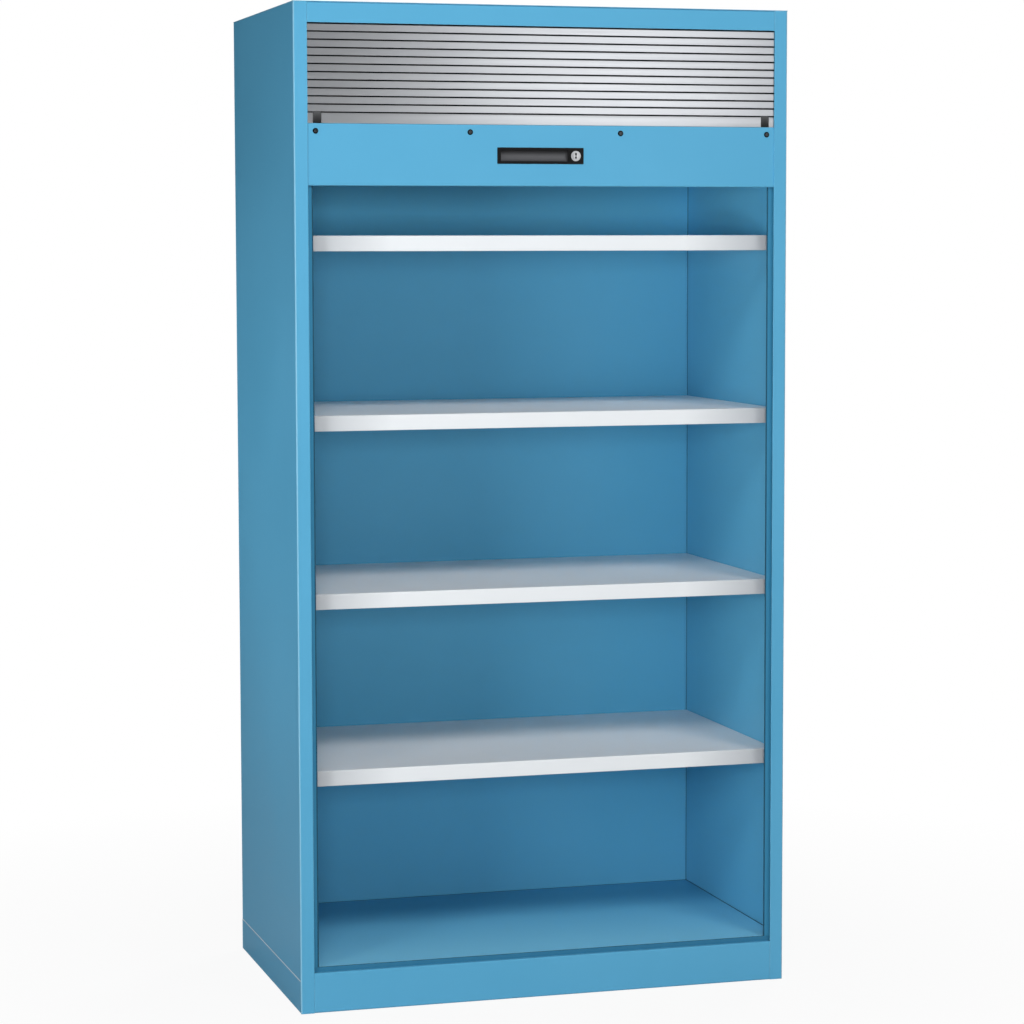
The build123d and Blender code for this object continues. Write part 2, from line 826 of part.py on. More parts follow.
for shelf in range(shelf_count):
    make_shelf(top_shelf - shelf * shelf_pitch, f"shelf_{shelf + 1}")

with BuildPart() as shelf_clips:
    for hand in (-1, 1):
        wall_x = hand * inner_side
        tip_x = hand * (inner_side - clip_reach)
        for clip_y in clip_places:
            with BuildSketch(face_at(clip_y + clip_width / 2)):
                for shelf in range(shelf_count):
                    seat = top_shelf - shelf * shelf_pitch - inner_sheet
                    with BuildLine():
                        Polyline(
                            (wall_x, seat),
                            (tip_x, seat),
                            (tip_x, seat - clip_tip),
                            (wall_x - hand * clip_tip, seat - clip_height),
                            (wall_x, seat - clip_height),
                            close=True,
                        )
                    make_face()
            extrude(amount=clip_width)
save(shelf_clips, "shelf_clips")
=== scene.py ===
# %% [markdown]
# # A roll front tool cabinet, dressed in Blender
#
# The cabinet arrives as a finished set of CAD solids: sheet steel, slats, a lock and a winding
# shaft. This lesson gives those solids their paint, metal and plastic, and swaps a few of them
# for finer surfaces worked out with numpy. Nothing is moved: every new piece takes its place
# from the box of the solid that it stands for.

# %% Load the cabinet
import json
import math

import bmesh
import bpy
import numpy as np
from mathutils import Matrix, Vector

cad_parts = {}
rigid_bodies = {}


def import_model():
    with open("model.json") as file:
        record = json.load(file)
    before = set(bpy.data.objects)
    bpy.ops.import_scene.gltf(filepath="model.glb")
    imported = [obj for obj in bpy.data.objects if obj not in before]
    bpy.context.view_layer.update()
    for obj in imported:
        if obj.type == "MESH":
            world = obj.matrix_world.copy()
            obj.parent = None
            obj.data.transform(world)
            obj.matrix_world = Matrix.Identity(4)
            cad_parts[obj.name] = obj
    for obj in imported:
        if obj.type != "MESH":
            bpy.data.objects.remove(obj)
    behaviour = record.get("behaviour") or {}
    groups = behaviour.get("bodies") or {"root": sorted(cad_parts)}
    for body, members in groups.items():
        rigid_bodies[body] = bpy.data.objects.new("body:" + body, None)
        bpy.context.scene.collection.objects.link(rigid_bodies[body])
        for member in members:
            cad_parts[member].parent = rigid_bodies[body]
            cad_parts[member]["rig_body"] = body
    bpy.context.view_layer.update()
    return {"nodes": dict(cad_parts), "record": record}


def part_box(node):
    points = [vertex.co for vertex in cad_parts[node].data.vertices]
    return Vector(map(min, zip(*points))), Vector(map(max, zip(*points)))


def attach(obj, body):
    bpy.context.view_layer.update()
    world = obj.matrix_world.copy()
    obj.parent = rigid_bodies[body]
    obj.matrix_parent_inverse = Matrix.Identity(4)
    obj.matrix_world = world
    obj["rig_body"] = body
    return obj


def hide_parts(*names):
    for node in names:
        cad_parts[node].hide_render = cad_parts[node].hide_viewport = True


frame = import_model()
MM = 0.001

# %% [markdown]
# ## The camera
#
# The cabinet is seen from a little left of its front and from about chest height. A long lens
# keeps the uprights nearly parallel, as in a catalogue picture. The camera's place is a point, a
# turn about the vertical and a small tilt down.

# %% Place the camera
def add_object(name, data):
    """Puts an object into the scene."""
    thing = bpy.data.objects.new(name, data)
    bpy.context.scene.collection.objects.link(thing)
    return thing


CAMERA_PLACE = (-1.7257, -5.9443, 1.4863)
CAMERA_TURN = 0.2849
CAMERA_TILT_DOWN = 0.0876
CAMERA_ROLL = 0.0022
PICTURE_SIDE = 1024
FOCAL_PIXELS = 3024.6
SENSOR_WIDTH = 36.0
SEES_TO = 100.0

camera_data = bpy.data.cameras.new("front_left_view")
camera_data.sensor_width = SENSOR_WIDTH
camera_data.lens = FOCAL_PIXELS * SENSOR_WIDTH / PICTURE_SIDE
camera_data.clip_end = SEES_TO
camera = add_object("front_left_view", camera_data)
camera.location = CAMERA_PLACE
camera.rotation_euler = (math.pi / 2 - CAMERA_TILT_DOWN, CAMERA_ROLL, -CAMERA_TURN)
bpy.context.scene.camera = camera
print("lens:", round(camera_data.lens, 1), "mm")

# %% [markdown]
# ## Light
#
# Seven lamps light the cabinet. Two hang high in front of it and reach the tops of the shelves.
# One at chest height looks straight in, so that the back wall isn't lost in the dark, and one at
# the left does the same for the right wall. A small one close to the left wall makes it brightest
# at half its height. A tall strip near the front is only there to be mirrored, as the bright band
# on the slats. The last hangs behind, for the back, the roof and the right wall. Together with
# a little sky they add up to about one on the front, so that a colour looks as it was written.

# %% Hang the panels
LIGHT_TARGET = Vector((0.0, -0.2, 1.0))


def hang_panel(name, place, width, height, watts, mirrored=False, lighting=True):
    """An area light at a place, facing the cabinet. It may be seen in shiny surfaces, light the
    dull ones, or both."""
    lamp = bpy.data.lights.new(name, "AREA")
    lamp.shape = "RECTANGLE"
    lamp.size = width
    lamp.size_y = height
    lamp.energy = watts
    panel = add_object(name, lamp)
    panel.location = place
    panel.rotation_euler = (LIGHT_TARGET - Vector(place)).to_track_quat("-Z", "Y").to_euler()
    panel.visible_camera = False
    panel.visible_glossy = mirrored
    panel.visible_diffuse = lighting


hang_panel("high_right_panel", (1.5, -4.4, 4.7), 1.6, 1.2, 86)
hang_panel("high_left_panel", (-1.6, -4.4, 4.7), 1.6, 1.2, 86)
hang_panel("front_panel", (-1.5, -6.5, 1.5), 1.6, 1.2, 146)
hang_panel("left_panel", (-3.5, -3.0, 1.2), 1.0, 1.0, 62)
hang_panel("wall_panel", (-1.45, 0.05, 1.05), 0.9, 0.5, 4.4)
hang_panel("near_strip", (0.8, -2.3, 1.5), 0.8, 2.2, 7.5, mirrored=True, lighting=False)
hang_panel("rear_panel", (3.0, 3.4, 3.4), 1.6, 1.2, 150)

# %% [markdown]
# ## Node helpers
#
# A material is a small graph. The main helper adds one node and fills its inputs by name: an
# output of another node is linked, anything else is written as a value. The others are short
# forms of the nodes that are used most. Colours are written as a screen shows them.

# %% Add and join nodes
def join(tree, source, target):
    """Links an output socket to an input socket."""
    tree.links.new(source, target)


def add_node(tree, kind, inputs=None, **settings):
    """Adds one node, sets its properties from the keywords and fills its inputs."""
    node = tree.nodes.new("ShaderNode" + kind)
    for name, value in settings.items():
        setattr(node, name, value)
    for name, value in (inputs or {}).items():
        if isinstance(value, bpy.types.NodeSocket):
            join(tree, value, node.inputs[name])
        else:
            node.inputs[name].default_value = value
    return node


def combine(tree, operation, first, second=0.0, **settings):
    """One number from two, by the operation's name."""
    node = add_node(tree, "Math", {0: first, 1: second}, operation=operation, **settings)
    return node.outputs["Value"]


def combine_vectors(tree, operation, first, second, output="Vector"):
    """One vector, or one number, from two vectors, by the operation's name."""
    node = add_node(tree, "VectorMath", {0: first, 1: second}, operation=operation)
    return node.outputs[output]


def ramp(tree, value, start, end, low=0.0, high=1.0):
    """Goes from low to high while a value goes from start to end."""
    ends = {"From Min": start, "From Max": end, "To Min": low, "To Max": high}
    return add_node(tree, "MapRange", {"Value": value, **ends}).outputs["Result"]


def noise(tree, place, scale, detail, roughness=0.5):
    """Noise between 0 and 1, with scale patches to the metre and detail finer layers on top."""
    inputs = {"Vector": place, "Scale": scale, "Detail": detail, "Roughness": roughness}
    return add_node(tree, "TexNoise", inputs).outputs["Fac"]


def object_place(tree):
    """A point's place on the piece's own axes, so that a pattern goes with the piece."""
    return add_node(tree, "TexCoord").outputs["Object"]


def linear(tone):
    """A display colour, 0 to 255, as the linear colour that a shader takes."""
    share = np.array(tone) / 255.0
    light = np.where(share <= 0.04045, share / 12.92, ((share + 0.055) / 1.055) ** 2.4)
    return (*light.tolist(), 1.0)


def mix_tones(tree, mask, under, over):
    """Goes with a mask from a display colour, or a colour mixed before, to a display colour."""
    under = linear(under) if isinstance(under, tuple) else under
    inputs = {"Factor": mask, "A": under, "B": linear(over)}
    return add_node(tree, "Mix", inputs, data_type="RGBA").outputs["Result"]


def bump(tree, height, normal, strength, distance):
    """Small slopes from a height, on top of a given normal."""
    inputs = {"Strength": strength, "Distance": distance, "Height": height, "Normal": normal}
    return add_node(tree, "Bump", inputs).outputs["Normal"]


def mesh_value(tree, name):
    """A number that the mesh carries at each point, or 0 where it has none of that name."""
    return add_node(tree, "Attribute", attribute_name=name).outputs["Fac"]


print("a test colour:", [round(v, 3) for v in linear((100, 172, 212))])

# %% [markdown]
# ## Groups
#
# A *node group* is an effect that several materials share. It is built once, with named inputs
# and outputs, and each material places it with its own values.

# %% Make and place groups
def new_group(name, inputs, outputs):
    """An empty group with named inputs, each with its first value, and named outputs. All of them
    are numbers, apart from places, densities and the normal, which are vectors."""
    group = bpy.data.node_groups.new(name, "ShaderNodeTree")
    for label, value in inputs.items():
        kind = "NodeSocketVector" if isinstance(value, tuple) else "NodeSocketFloat"
        group.interface.new_socket(label, in_out="INPUT", socket_type=kind).default_value = value
    for label in outputs:
        kind = "NodeSocketVector" if label == "Normal" else "NodeSocketFloat"
        group.interface.new_socket(label, in_out="OUTPUT", socket_type=kind)
    given = group.nodes.new("NodeGroupInput").outputs
    return group, given, group.nodes.new("NodeGroupOutput").inputs


def place_group(tree, group, **values):
    """Puts a group into a material with its own values, one keyword for each input."""
    node = tree.nodes.new("ShaderNodeGroup")
    node.node_tree = group
    for name, value in values.items():
        node.inputs[name.replace("_", " ").capitalize()].default_value = value
    return node.outputs


print("group helpers ready")

# %% [markdown]
# ## Effect 1: soft edges and wear
#
# Bent sheet and moulded plastic never have knife edges, and paint is thinnest where it goes
# round one. The *Bevel* node looks a short way round each point and gives the direction the
# surface would face if its edges were rounded. Using that as the normal makes every edge catch
# a thin light. Where it differs from the true direction there is an edge, and that difference,
# broken up by noise, is the edge mask. The paler tone that the coats give it is partly wear and
# partly a painted edge highlight.

# %% Build the edge group
def build_edge_group():
    """Mask = (1 - rounded normal . true normal) x gain x noise; Normal = the rounded normal."""
    inputs = {"Width": 1.5 * MM, "Gain": 4.0, "Patch size": 0.04}
    group, given, result = new_group("soft_edges", inputs, ("Mask", "Normal"))
    rounded = add_node(group, "Bevel", {"Radius": given["Width"]}, samples=6).outputs["Normal"]
    true_side = add_node(group, "NewGeometry").outputs["Normal"]
    agreement = combine_vectors(group, "DOT_PRODUCT", rounded, true_side, "Value")
    difference = combine(group, "SUBTRACT", 1.0, agreement)
    gained = combine(group, "MULTIPLY", difference, given["Gain"])
    density = combine(group, "DIVIDE", 1.0, given["Patch size"])
    patches = ramp(group, noise(group, object_place(group), density, 4.0, 0.65), 0.35, 0.7)
    join(group, combine(group, "MULTIPLY", gained, patches, use_clamp=True), result["Mask"])
    join(group, rounded, result["Normal"])
    return group


SOFT_EDGES = build_edge_group()
print("group:", SOFT_EDGES.name)

# %% [markdown]
# ## Effect 2: grain
#
# Powder paint dries with a faint orange peel, and moulded plastic is etched with a fine grain.
# Both are a height made of two sizes of noise. A third, very broad noise is kept apart: it
# shifts colour and gloss a little from place to place, as on any real sheet.

# %% Build the grain group
def build_grain_group():
    """Height = fine noise + 0.6 x noise four times as coarse; Drift = broad noise, 0 to 1."""
    inputs = {"Grain size": 1.2 * MM, "Drift size": 0.35}
    group, given, result = new_group("grain", inputs, ("Height", "Drift"))
    place = object_place(group)
    density = combine(group, "DIVIDE", 1.0, given["Grain size"])
    fine = noise(group, place, density, 2.0)
    coarse = noise(group, place, combine(group, "MULTIPLY", density, 0.25), 1.0)
    broad = noise(group, place, combine(group, "DIVIDE", 1.0, given["Drift size"]), 3.0, 0.55)
    height = combine(group, "ADD", fine, combine(group, "MULTIPLY", coarse, 0.6))
    join(group, height, result["Height"])
    join(group, ramp(group, broad, 0.3, 0.7), result["Drift"])
    return group


GRAIN = build_grain_group()
print("group:", GRAIN.name)

# %% [markdown]
# ## Effect 3: drawn lines
#
# Aluminium profiles are pushed through a die, which leaves hair lines along their length. The
# same noise does this if the coordinates are stretched: slow along the length, fast across it.

# %% Build the drawn lines group
def build_lines_group():
    """Lines = noise on the place x Density, Drift = noise on the place x Drift density, 0 to 1."""
    inputs = {"Density": (3.0, 900.0, 900.0), "Drift density": (1.5, 40.0, 40.0)}
    group, given, result = new_group("drawn_lines", inputs, ("Lines", "Drift"))
    place = object_place(group)
    for name, density, detail in (("Lines", "Density", 3.0), ("Drift", "Drift density", 2.0)):
        stretched = combine_vectors(group, "MULTIPLY", place, given[density])
        join(group, ramp(group, noise(group, stretched, 1.0, detail), 0.25, 0.75), result[name])
    return group


DRAWN_LINES = build_lines_group()
print("group:", DRAWN_LINES.name)

# %% [markdown]
# ## Effect 4: places
#
# Where on the cabinet a point lies, and which way it faces, gives masks for tones that belong to
# a place. Most of these tones are painted light and shade. The coat is painted paler round the
# front bends, as a painted highlight, and the joints in the rear corners are dark. The floor and
# the inner walls are painted paler towards the front, as painted light. Above the top shelf the
# coat is painted brighter, as painted light in the shaded top compartment. A dark line of painted
# shade runs along the border of the floor and of the guides. The floor's lip is painted darker as
# shade. The shelves' tops are painted paler than their lips, to make up for the shade they lie
# in, and the shelves' lips are painted darker towards both ends as painted shade.

# %% Build the places group
FRONT_STARTS = -0.22
BACK_STARTS = 0.2
FAR = 9.0


def build_places_group():
    """Bend and Corner = |normal's X x normal's Y|, about a half where a face looks half sideways
    and half forwards, in front and behind; Near = how far forward a point lies; Inner = that, on
    faces that look towards the middle, where X x normal's X is below 0; Upper = those faces and the
    front of the back, higher than the top shelf; Border = a point outside the box from Low to High
    in X or Y; Lip = a face at the front that looks forward; Ends = that, far from the middle."""
    inputs = {"Low": (-FAR, -FAR, -FAR), "High": (FAR, FAR, FAR)}
    outputs = ("Bend", "Corner", "Near", "Inner", "Upper", "Border", "Lip", "Ends")
    group, given, result = new_group("places", inputs, outputs)
    place = object_place(group)
    true_side = add_node(group, "NewGeometry").outputs["True Normal"]
    where = add_node(group, "SeparateXYZ", {"Vector": place}).outputs
    towards = add_node(group, "SeparateXYZ", {"Vector": true_side}).outputs
    in_front = combine(group, "LESS_THAN", where["Y"], FRONT_STARTS)
    behind = combine(group, "GREATER_THAN", where["Y"], FRONT_STARTS)
    slant = combine(group, "ABSOLUTE", combine(group, "MULTIPLY", towards["X"], towards["Y"]))
    bend = ramp(group, slant, 0.12, 0.4)
    near = ramp(group, where["Y"], BACK_STARTS, -0.27)
    outward = combine(group, "MULTIPLY", where["X"], towards["X"])
    inner_wall = combine(group, "LESS_THAN", outward, -0.2)
    at_back = combine(group, "GREATER_THAN", where["Y"], BACK_STARTS)
    forwards = combine(group, "LESS_THAN", towards["Y"], -0.5)
    inner_back = combine(group, "MULTIPLY", at_back, forwards)
    high_up = combine(group, "GREATER_THAN", where["Z"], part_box("shelf_1")[1].z)
    inside = combine(group, "MAXIMUM", inner_wall, inner_back)
    lip = combine(group, "MULTIPLY", ramp(group, towards["Y"], -0.3, -0.8), in_front)
    from_middle = ramp(group, combine(group, "ABSOLUTE", where["X"]), 0.3, 0.49)
    under = combine_vectors(group, "SUBTRACT", given["Low"], place)
    over = combine_vectors(group, "SUBTRACT", place, given["High"])
    outside = combine_vectors(group, "MAXIMUM", under, over)
    beyond = add_node(group, "SeparateXYZ", {"Vector": outside}).outputs
    farthest = combine(group, "MAXIMUM", beyond["X"], beyond["Y"])
    masks = {
        "Bend": combine(group, "MULTIPLY", bend, in_front),
        "Corner": combine(group, "MULTIPLY", bend, behind),
        "Near": near,
        "Inner": combine(group, "MULTIPLY", near, inner_wall),
        "Upper": combine(group, "MULTIPLY", high_up, inside),
        "Border": combine(group, "GREATER_THAN", farthest, 0.0),
        "Lip": lip,
        "Ends": combine(group, "MULTIPLY", lip, from_middle),
    }
    for name, mask in masks.items():
        join(group, mask, result[name])
    return group


PLACES = build_places_group()
print("group:", PLACES.name)

# %% [markdown]
# ## A material to start from
#
# Every finish starts from one Principled shader. Values that are the same all over, such as the
# metal share, are written on the shader itself. Colour, gloss and bumps change over the surface,
# so they come through links.

# %% Start and complete a material
def start_material(name, **shader_values):
    """A material with a Principled shader whose sockets are set from the keywords."""
    finish = bpy.data.materials.new(name)
    finish.use_nodes = True
    tree = finish.node_tree
    shader = tree.nodes["Principled BSDF"]
    for socket, value in shader_values.items():
        shader.inputs[socket.replace("_", " ").title().replace("Ior", "IOR")].default_value = value
    return finish, tree, shader


def complete_material(tree, shader, tone, varying, smoothest, roughest, normal):
    """Links the colour and the normal, and a roughness that follows a varying value of 0 to 1."""
    join(tree, tone, shader.inputs["Base Color"])
    join(tree, ramp(tree, varying, 0.0, 1.0, smoothest, roughest), shader.inputs["Roughness"])
    join(tree, normal, shader.inputs["Normal"])


print("material helpers ready")

# %% [markdown]
# ## Powder coat
#
# The case is sheet steel with a satin blue powder coat, and the shelves have the same coat in
# light grey. The guides of the roll front, in which the slats run, have a darker blue coat, which
# is painted shade for the shade inside them. All of them are one recipe with other colours: a
# broad drift between two close tones, a slightly paler line on the edges for wear and a painted
# highlight, the tones of the places, most of them painted light and shade, and orange peel as bump.

# %% Mix the powder coats
# Painted highlight along the plinth's rolled seam.
SEAM_HIGHLIGHT_TONE = (206, 216, 224)


def powder_coat(name, low_tone, high_tone, edge_tone, roughness, inner_box=None, **place_tones):
    """Colour = drift between two tones, then the edge tone (wear and a painted highlight) by the
    edge mask, then a tone for each named place, mostly painted light and shade, then the painted
    seam highlight where the mesh asks for it."""
    finish, tree, shader = start_material(name, specular_ior_level=0.22)
    edges = place_group(tree, SOFT_EDGES, width=2.0 * MM, gain=2.6, patch_size=0.06)
    grain = place_group(tree, GRAIN, grain_size=1.3 * MM, drift_size=0.45)
    places = place_group(tree, PLACES, **(inner_box or {}))
    tone = mix_tones(tree, grain["Drift"], low_tone, high_tone)
    tone = mix_tones(tree, edges["Mask"], tone, edge_tone)
    for place, place_tone in place_tones.items():
        tone = mix_tones(tree, places[place.capitalize()], tone, place_tone)
    # The painted seam highlight, where the mesh carries it.
    tone = mix_tones(tree, mesh_value(tree, "seam_highlight"), tone, SEAM_HIGHLIGHT_TONE)
    peel = bump(tree, grain["Height"], edges["Normal"], strength=0.12, distance=0.25 * MM)
    complete_material(tree, shader, tone, grain["Drift"], roughness - 0.04, roughness + 0.04, peel)
    return finish


# The third tone of each coat is its edge tone: wear, and a painted edge highlight.
BLUE_TONES = ((82, 158, 195), (88, 163, 200), (150, 203, 228), 0.42)
SHELF_TONES = ((232, 234, 236), (238, 240, 242), (240, 242, 244), 0.4)
# The guide tones are darker than the case: painted shade for the shadowed guides.
GUIDE_TONES = ((50, 122, 158), (55, 127, 163), (86, 160, 194), 0.5)
# A painted shade line along the guides' inner border.
GUIDE_BORDER_SHADE = (34, 78, 100)
BORDER_LINE = Vector((3.0 * MM, 3.0 * MM, 0.0))
GUIDE_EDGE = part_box("guide_right")[0].x + 2.5 * MM
# Painted light: the back wall above the top shelf is painted brighter.
BLUE_COAT = powder_coat("blue_coat", *BLUE_TONES, upper=(100, 190, 232))
# Painted light on the side walls: inner faces paler towards the front, brighter above the top
# shelf, and a painted highlight round the front bends.
BENT_COAT = powder_coat(
    "bent_coat",
    *BLUE_TONES,
    inner=(104, 184, 220),
    upper=(112, 205, 247),
    bend=(130, 182, 207),
    corner=(58, 108, 132),
)
# Painted light on the floor: paler towards the front, a painted shade line along its border, and
# painted shade on its front lip.
floor_low, floor_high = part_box("floor_panel")
FLOOR_COAT = powder_coat(
    "floor_coat",
    *BLUE_TONES,
    inner_box={"low": floor_low + BORDER_LINE, "high": floor_high - BORDER_LINE},
    near=(134, 210, 242),
    border=(22, 58, 78),
    lip=(48, 112, 145),
)
# The shelf tops are painted paler than the lips, against their shade, and the lips darker towards
# both ends as painted shade.
SHELF_COAT = powder_coat("shelf_coat", *SHELF_TONES, lip=(222, 226, 229), ends=(168, 173, 178))
GUIDE_BOXES = {
    "left": {"high": (-GUIDE_EDGE, FAR, FAR)},
    "right": {"low": (GUIDE_EDGE, -FAR, -FAR)},
}
# Guide coats: darker as painted shade, with a painted shade line on the inner border.
GUIDE_COATS = {
    "guide_" + hand: powder_coat("guide_coat_" + hand, *GUIDE_TONES, box, border=GUIDE_BORDER_SHADE)
    for hand, box in GUIDE_BOXES.items()
}
coats = (BLUE_COAT, BENT_COAT, FLOOR_COAT, SHELF_COAT, *GUIDE_COATS.values())
print("coats:", [coat.name for coat in coats])

# %% [markdown]
# ## Bare metals
#
# The slats are anodised aluminium with hair lines along their length. Clips, rods and the shaft
# are zinc plated, which is greyer and a little cloudy. The lock is polished, the screws are
# blackened. Where slats hang in each other the metal is painted dark as shade: the slats' mesh
# carries a value for how deep a point lies in the joint, and the material reads it by its name.

# %% Mix the metals
# Near black: painted shade in the slats' joints and in hollows, and the black of the screw heads.
BLACK_AND_SHADE_TONE = (14, 15, 16)


def drawn_metal(name, dark_tone, light_tone, edge_tone, roughness, density):
    """Metal whose colour, gloss and height follow the drawn lines, with painted shade where the
    joint is deep.
    """
    finish, tree, shader = start_material(
        name, metallic=1.0, anisotropic=0.4, anisotropic_rotation=0.25
    )
    edges = place_group(tree, SOFT_EDGES, width=0.5 * MM, gain=1.6, patch_size=0.05)
    lines = place_group(tree, DRAWN_LINES, density=density, drift_density=(1.2, 30.0, 30.0))
    tone = mix_tones(tree, lines["Drift"], dark_tone, light_tone)
    tone = mix_tones(tree, edges["Mask"], tone, edge_tone)
    tone = mix_tones(tree, mesh_value(tree, "joint_depth"), tone, BLACK_AND_SHADE_TONE)
    hair = bump(tree, lines["Lines"], edges["Normal"], strength=0.1, distance=0.05 * MM)
    complete_material(tree, shader, tone, lines["Lines"], roughness - 0.05, roughness + 0.06, hair)
    return finish


def grained(name, tones, cover, sizes, gloss, relief, edge_width, **shader_values):
    """A drift between two tones and two roughnesses, over a grain with a strength and a depth. The
    cover is a value that the mesh carries, and the tone that it brings."""
    finish, tree, shader = start_material(name, **shader_values)
    edges = place_group(tree, SOFT_EDGES, width=edge_width)
    grain = place_group(tree, GRAIN, grain_size=sizes[0], drift_size=sizes[1])
    tone = mix_tones(tree, grain["Drift"], *tones)
    tone = mix_tones(tree, mesh_value(tree, cover[0]), tone, cover[1])
    normal = bump(tree, grain["Height"], edges["Normal"], *relief)
    complete_material(tree, shader, tone, grain["Drift"], *gloss, normal)
    return finish


def plated(name, tones, roughness, sizes):
    """Plated metal: cloudy, with a faint grain, near black where the mesh asks: painted shade,
    black heads.
    """
    gloss = (roughness - 0.05, roughness + 0.08)
    relief = (0.06, 0.05 * MM)
    return grained(name, tones, ("hollow", BLACK_AND_SHADE_TONE), sizes, gloss, relief, 0.2 * MM, metallic=1.0)


SLAT_TONES = ((205, 208, 213), (214, 217, 221), (236, 238, 241))
SLAT_LINES = (4.0, 1100.0, 1100.0)
SLAT_ALUMINIUM = drawn_metal("slat_aluminium", *SLAT_TONES, roughness=0.33, density=SLAT_LINES)
PLATED = {
    name: plated(name, tones, roughness, sizes)
    for name, tones, roughness, sizes in (
        ("zinc_steel", ((168, 172, 176), (196, 199, 202)), 0.38, (0.8 * MM, 0.02)),
        ("lock_chrome", ((190, 191, 194), (196, 197, 200)), 0.3, (0.4 * MM, 0.03)),
        ("black_steel", ((96, 98, 102), (112, 114, 118)), 0.4, (0.5 * MM, 0.004)),
    )
}
print("metals:", SLAT_ALUMINIUM.name, *PLATED)

# %% [markdown]
# ## Plastic and rubber
#
# The handle housing is black moulded plastic, etched with a fine grain so that fingerprints
# don't show, and its finger trough has a satin grey tone with painted shading. The stop buffers
# are rubber: the same grain, much rougher, painted paler towards the top as a painted highlight.
# Where the second tone lies is again a value that the mesh carries.

# %% Mix plastic and rubber
def moulded(name, tones, second_tone, roughness, grain_size, strength):
    """Moulded surface: an etched grain, a slight drift, and a second tone where the mesh asks."""
    cover = ("second_tone", second_tone)
    gloss = (roughness - 0.05, roughness + 0.05)
    sizes = (grain_size, 0.03)
    relief = (strength, 0.08 * MM)
    return grained(name, tones, cover, sizes, gloss, relief, 0.7 * MM, specular_ior_level=0.22)


BLACK_TONES = ((11, 11, 12), (16, 16, 17))
RUBBER_TONES = ((30, 31, 32), (38, 39, 40))
BLACK_PLASTIC = moulded("black_plastic", BLACK_TONES, (88, 89, 92), 0.5, 0.5 * MM, 0.25)
BUFFER_RUBBER = moulded("buffer_rubber", RUBBER_TONES, (84, 85, 87), 0.75, 0.9 * MM, 0.35)
print("moulded:", BLACK_PLASTIC.name, BUFFER_RUBBER.name)

# %% [markdown]
# ## Dress the CAD solids
#
# The record names a finish for each node, so one table of finishes dresses them all. A solid's
# mesh stays as it is: only the material in its slot changes. The walls, the floor and the guides
# have a coat with the tones of their own places.

# %% Give every node its finish
FINISHES = {
    "blue_coat": BLUE_COAT,
    "shelf_coat": SHELF_COAT,
    "slat_aluminium": SLAT_ALUMINIUM,
    "black_plastic": BLACK_PLASTIC,
    "buffer_rubber": BUFFER_RUBBER,
    **PLATED,
}
OWN_COATS = {
    "side_wall_left": BENT_COAT,
    "side_wall_right": BENT_COAT,
    "floor_panel": FLOOR_COAT,
    **GUIDE_COATS,
}
for part in frame["record"]["subparts"]:
    finish = OWN_COATS.get(part["node"], FINISHES[part["material_slot"]])
    node = frame["nodes"][part["node"]]
    node.data.materials.clear()
    node.data.materials.append(finish)

# %% [markdown]
# ## Surfaces from numpy
#
# A surface here is a grid of points: rows one way, columns the other. Neighbouring rows and
# columns are joined by four-sided faces, and where the grid wraps round, the last column is
# joined to the first again.

# %% Work out grids, outlines and runs
def grid_faces(rows, columns, rows_wrap=False):
    """The quads of a grid that wraps round in its columns, and in its rows if asked: a corner, the
    one in the next column, and both in the next row."""
    first_rows = np.arange(rows if rows_wrap else rows - 1)
    row, column = np.meshgrid(first_rows, np.arange(columns), indexing="ij")
    following = (column + 1) % columns
    below = (row + 1) % rows
    corners = [row * columns + column, row * columns + following]
    corners += [below * columns + following, below * columns + column]
    return np.stack(corners, -1).reshape(-1, 4).tolist()


def rounded_outline(corners, radii, steps=3):
    """A closed outline whose corners are arcs. An arc starts one tangent length before its corner
    and ends as far after it; its centre is on the bisector, radius / sin(half the corner's angle)
    away."""
    corner = np.asarray(corners, float)
    bend = np.asarray(radii, float)
    before = np.roll(corner, 1, 0) - corner
    after = np.roll(corner, -1, 0) - corner
    before /= np.linalg.norm(before, axis=1, keepdims=True)
    after /= np.linalg.norm(after, axis=1, keepdims=True)
    half = np.arccos(np.clip((before * after).sum(1), -1.0, 1.0)) / 2
    tangent = bend / np.tan(half)
    bisector = before + after
    bisector /= np.linalg.norm(bisector, axis=1, keepdims=True)
    centre = corner + bisector * (bend / np.sin(half))[:, None]
    start = corner + before * tangent[:, None] - centre
    turning = np.sign(before[:, 1] * after[:, 0] - before[:, 0] * after[:, 1])
    first = np.arctan2(start[:, 1], start[:, 0])
    swept = turning * (math.pi - 2 * half)
    angle = first[:, None] + swept[:, None] * np.linspace(0, 1, steps + 1)
    arc = centre[:, None, :] + bend[:, None, None] * np.stack([np.cos(angle), np.sin(angle)], -1)
    return arc.reshape(-1, 2)


def straight_run(section, start, end, depth, height):
    """A section at both ends of a run along X: its first number is added to the depth, its second
    to the height. Quads join the two outlines, and each is closed by one face."""
    ring = len(section)
    points = np.zeros((2, ring, 3))
    points[..., 0] = np.array([start, end])[:, None]
    points[..., 1] = depth + section[:, 0]
    points[..., 2] = height + section[:, 1]
    faces = [face[::-1] for face in grid_faces(2, ring)]
    faces += [list(range(ring)), list(range(2 * ring - 1, ring - 1, -1))]
    return points.reshape(-1, 3), faces


def merge_surfaces(surfaces):
    """Several surfaces as one: the faces of each count on from the points before it."""
    all_points, all_faces, count = [], [], 0
    for points, faces in surfaces:
        all_points.append(points)
        all_faces += [[corner + count for corner in face] for face in faces]
        count += len(points)
    return np.concatenate(all_points), all_faces


print("four quads round a two-row grid:", grid_faces(2, 4))

# %% [markdown]
# ## Meshes from surfaces
#
# Points and faces go into a mesh, the mesh into an object, and the object rides on the body of
# the solid that it stands for, which is hidden. Edges sharper than 35 degrees stay sharp, the
# rest is shaded smooth.

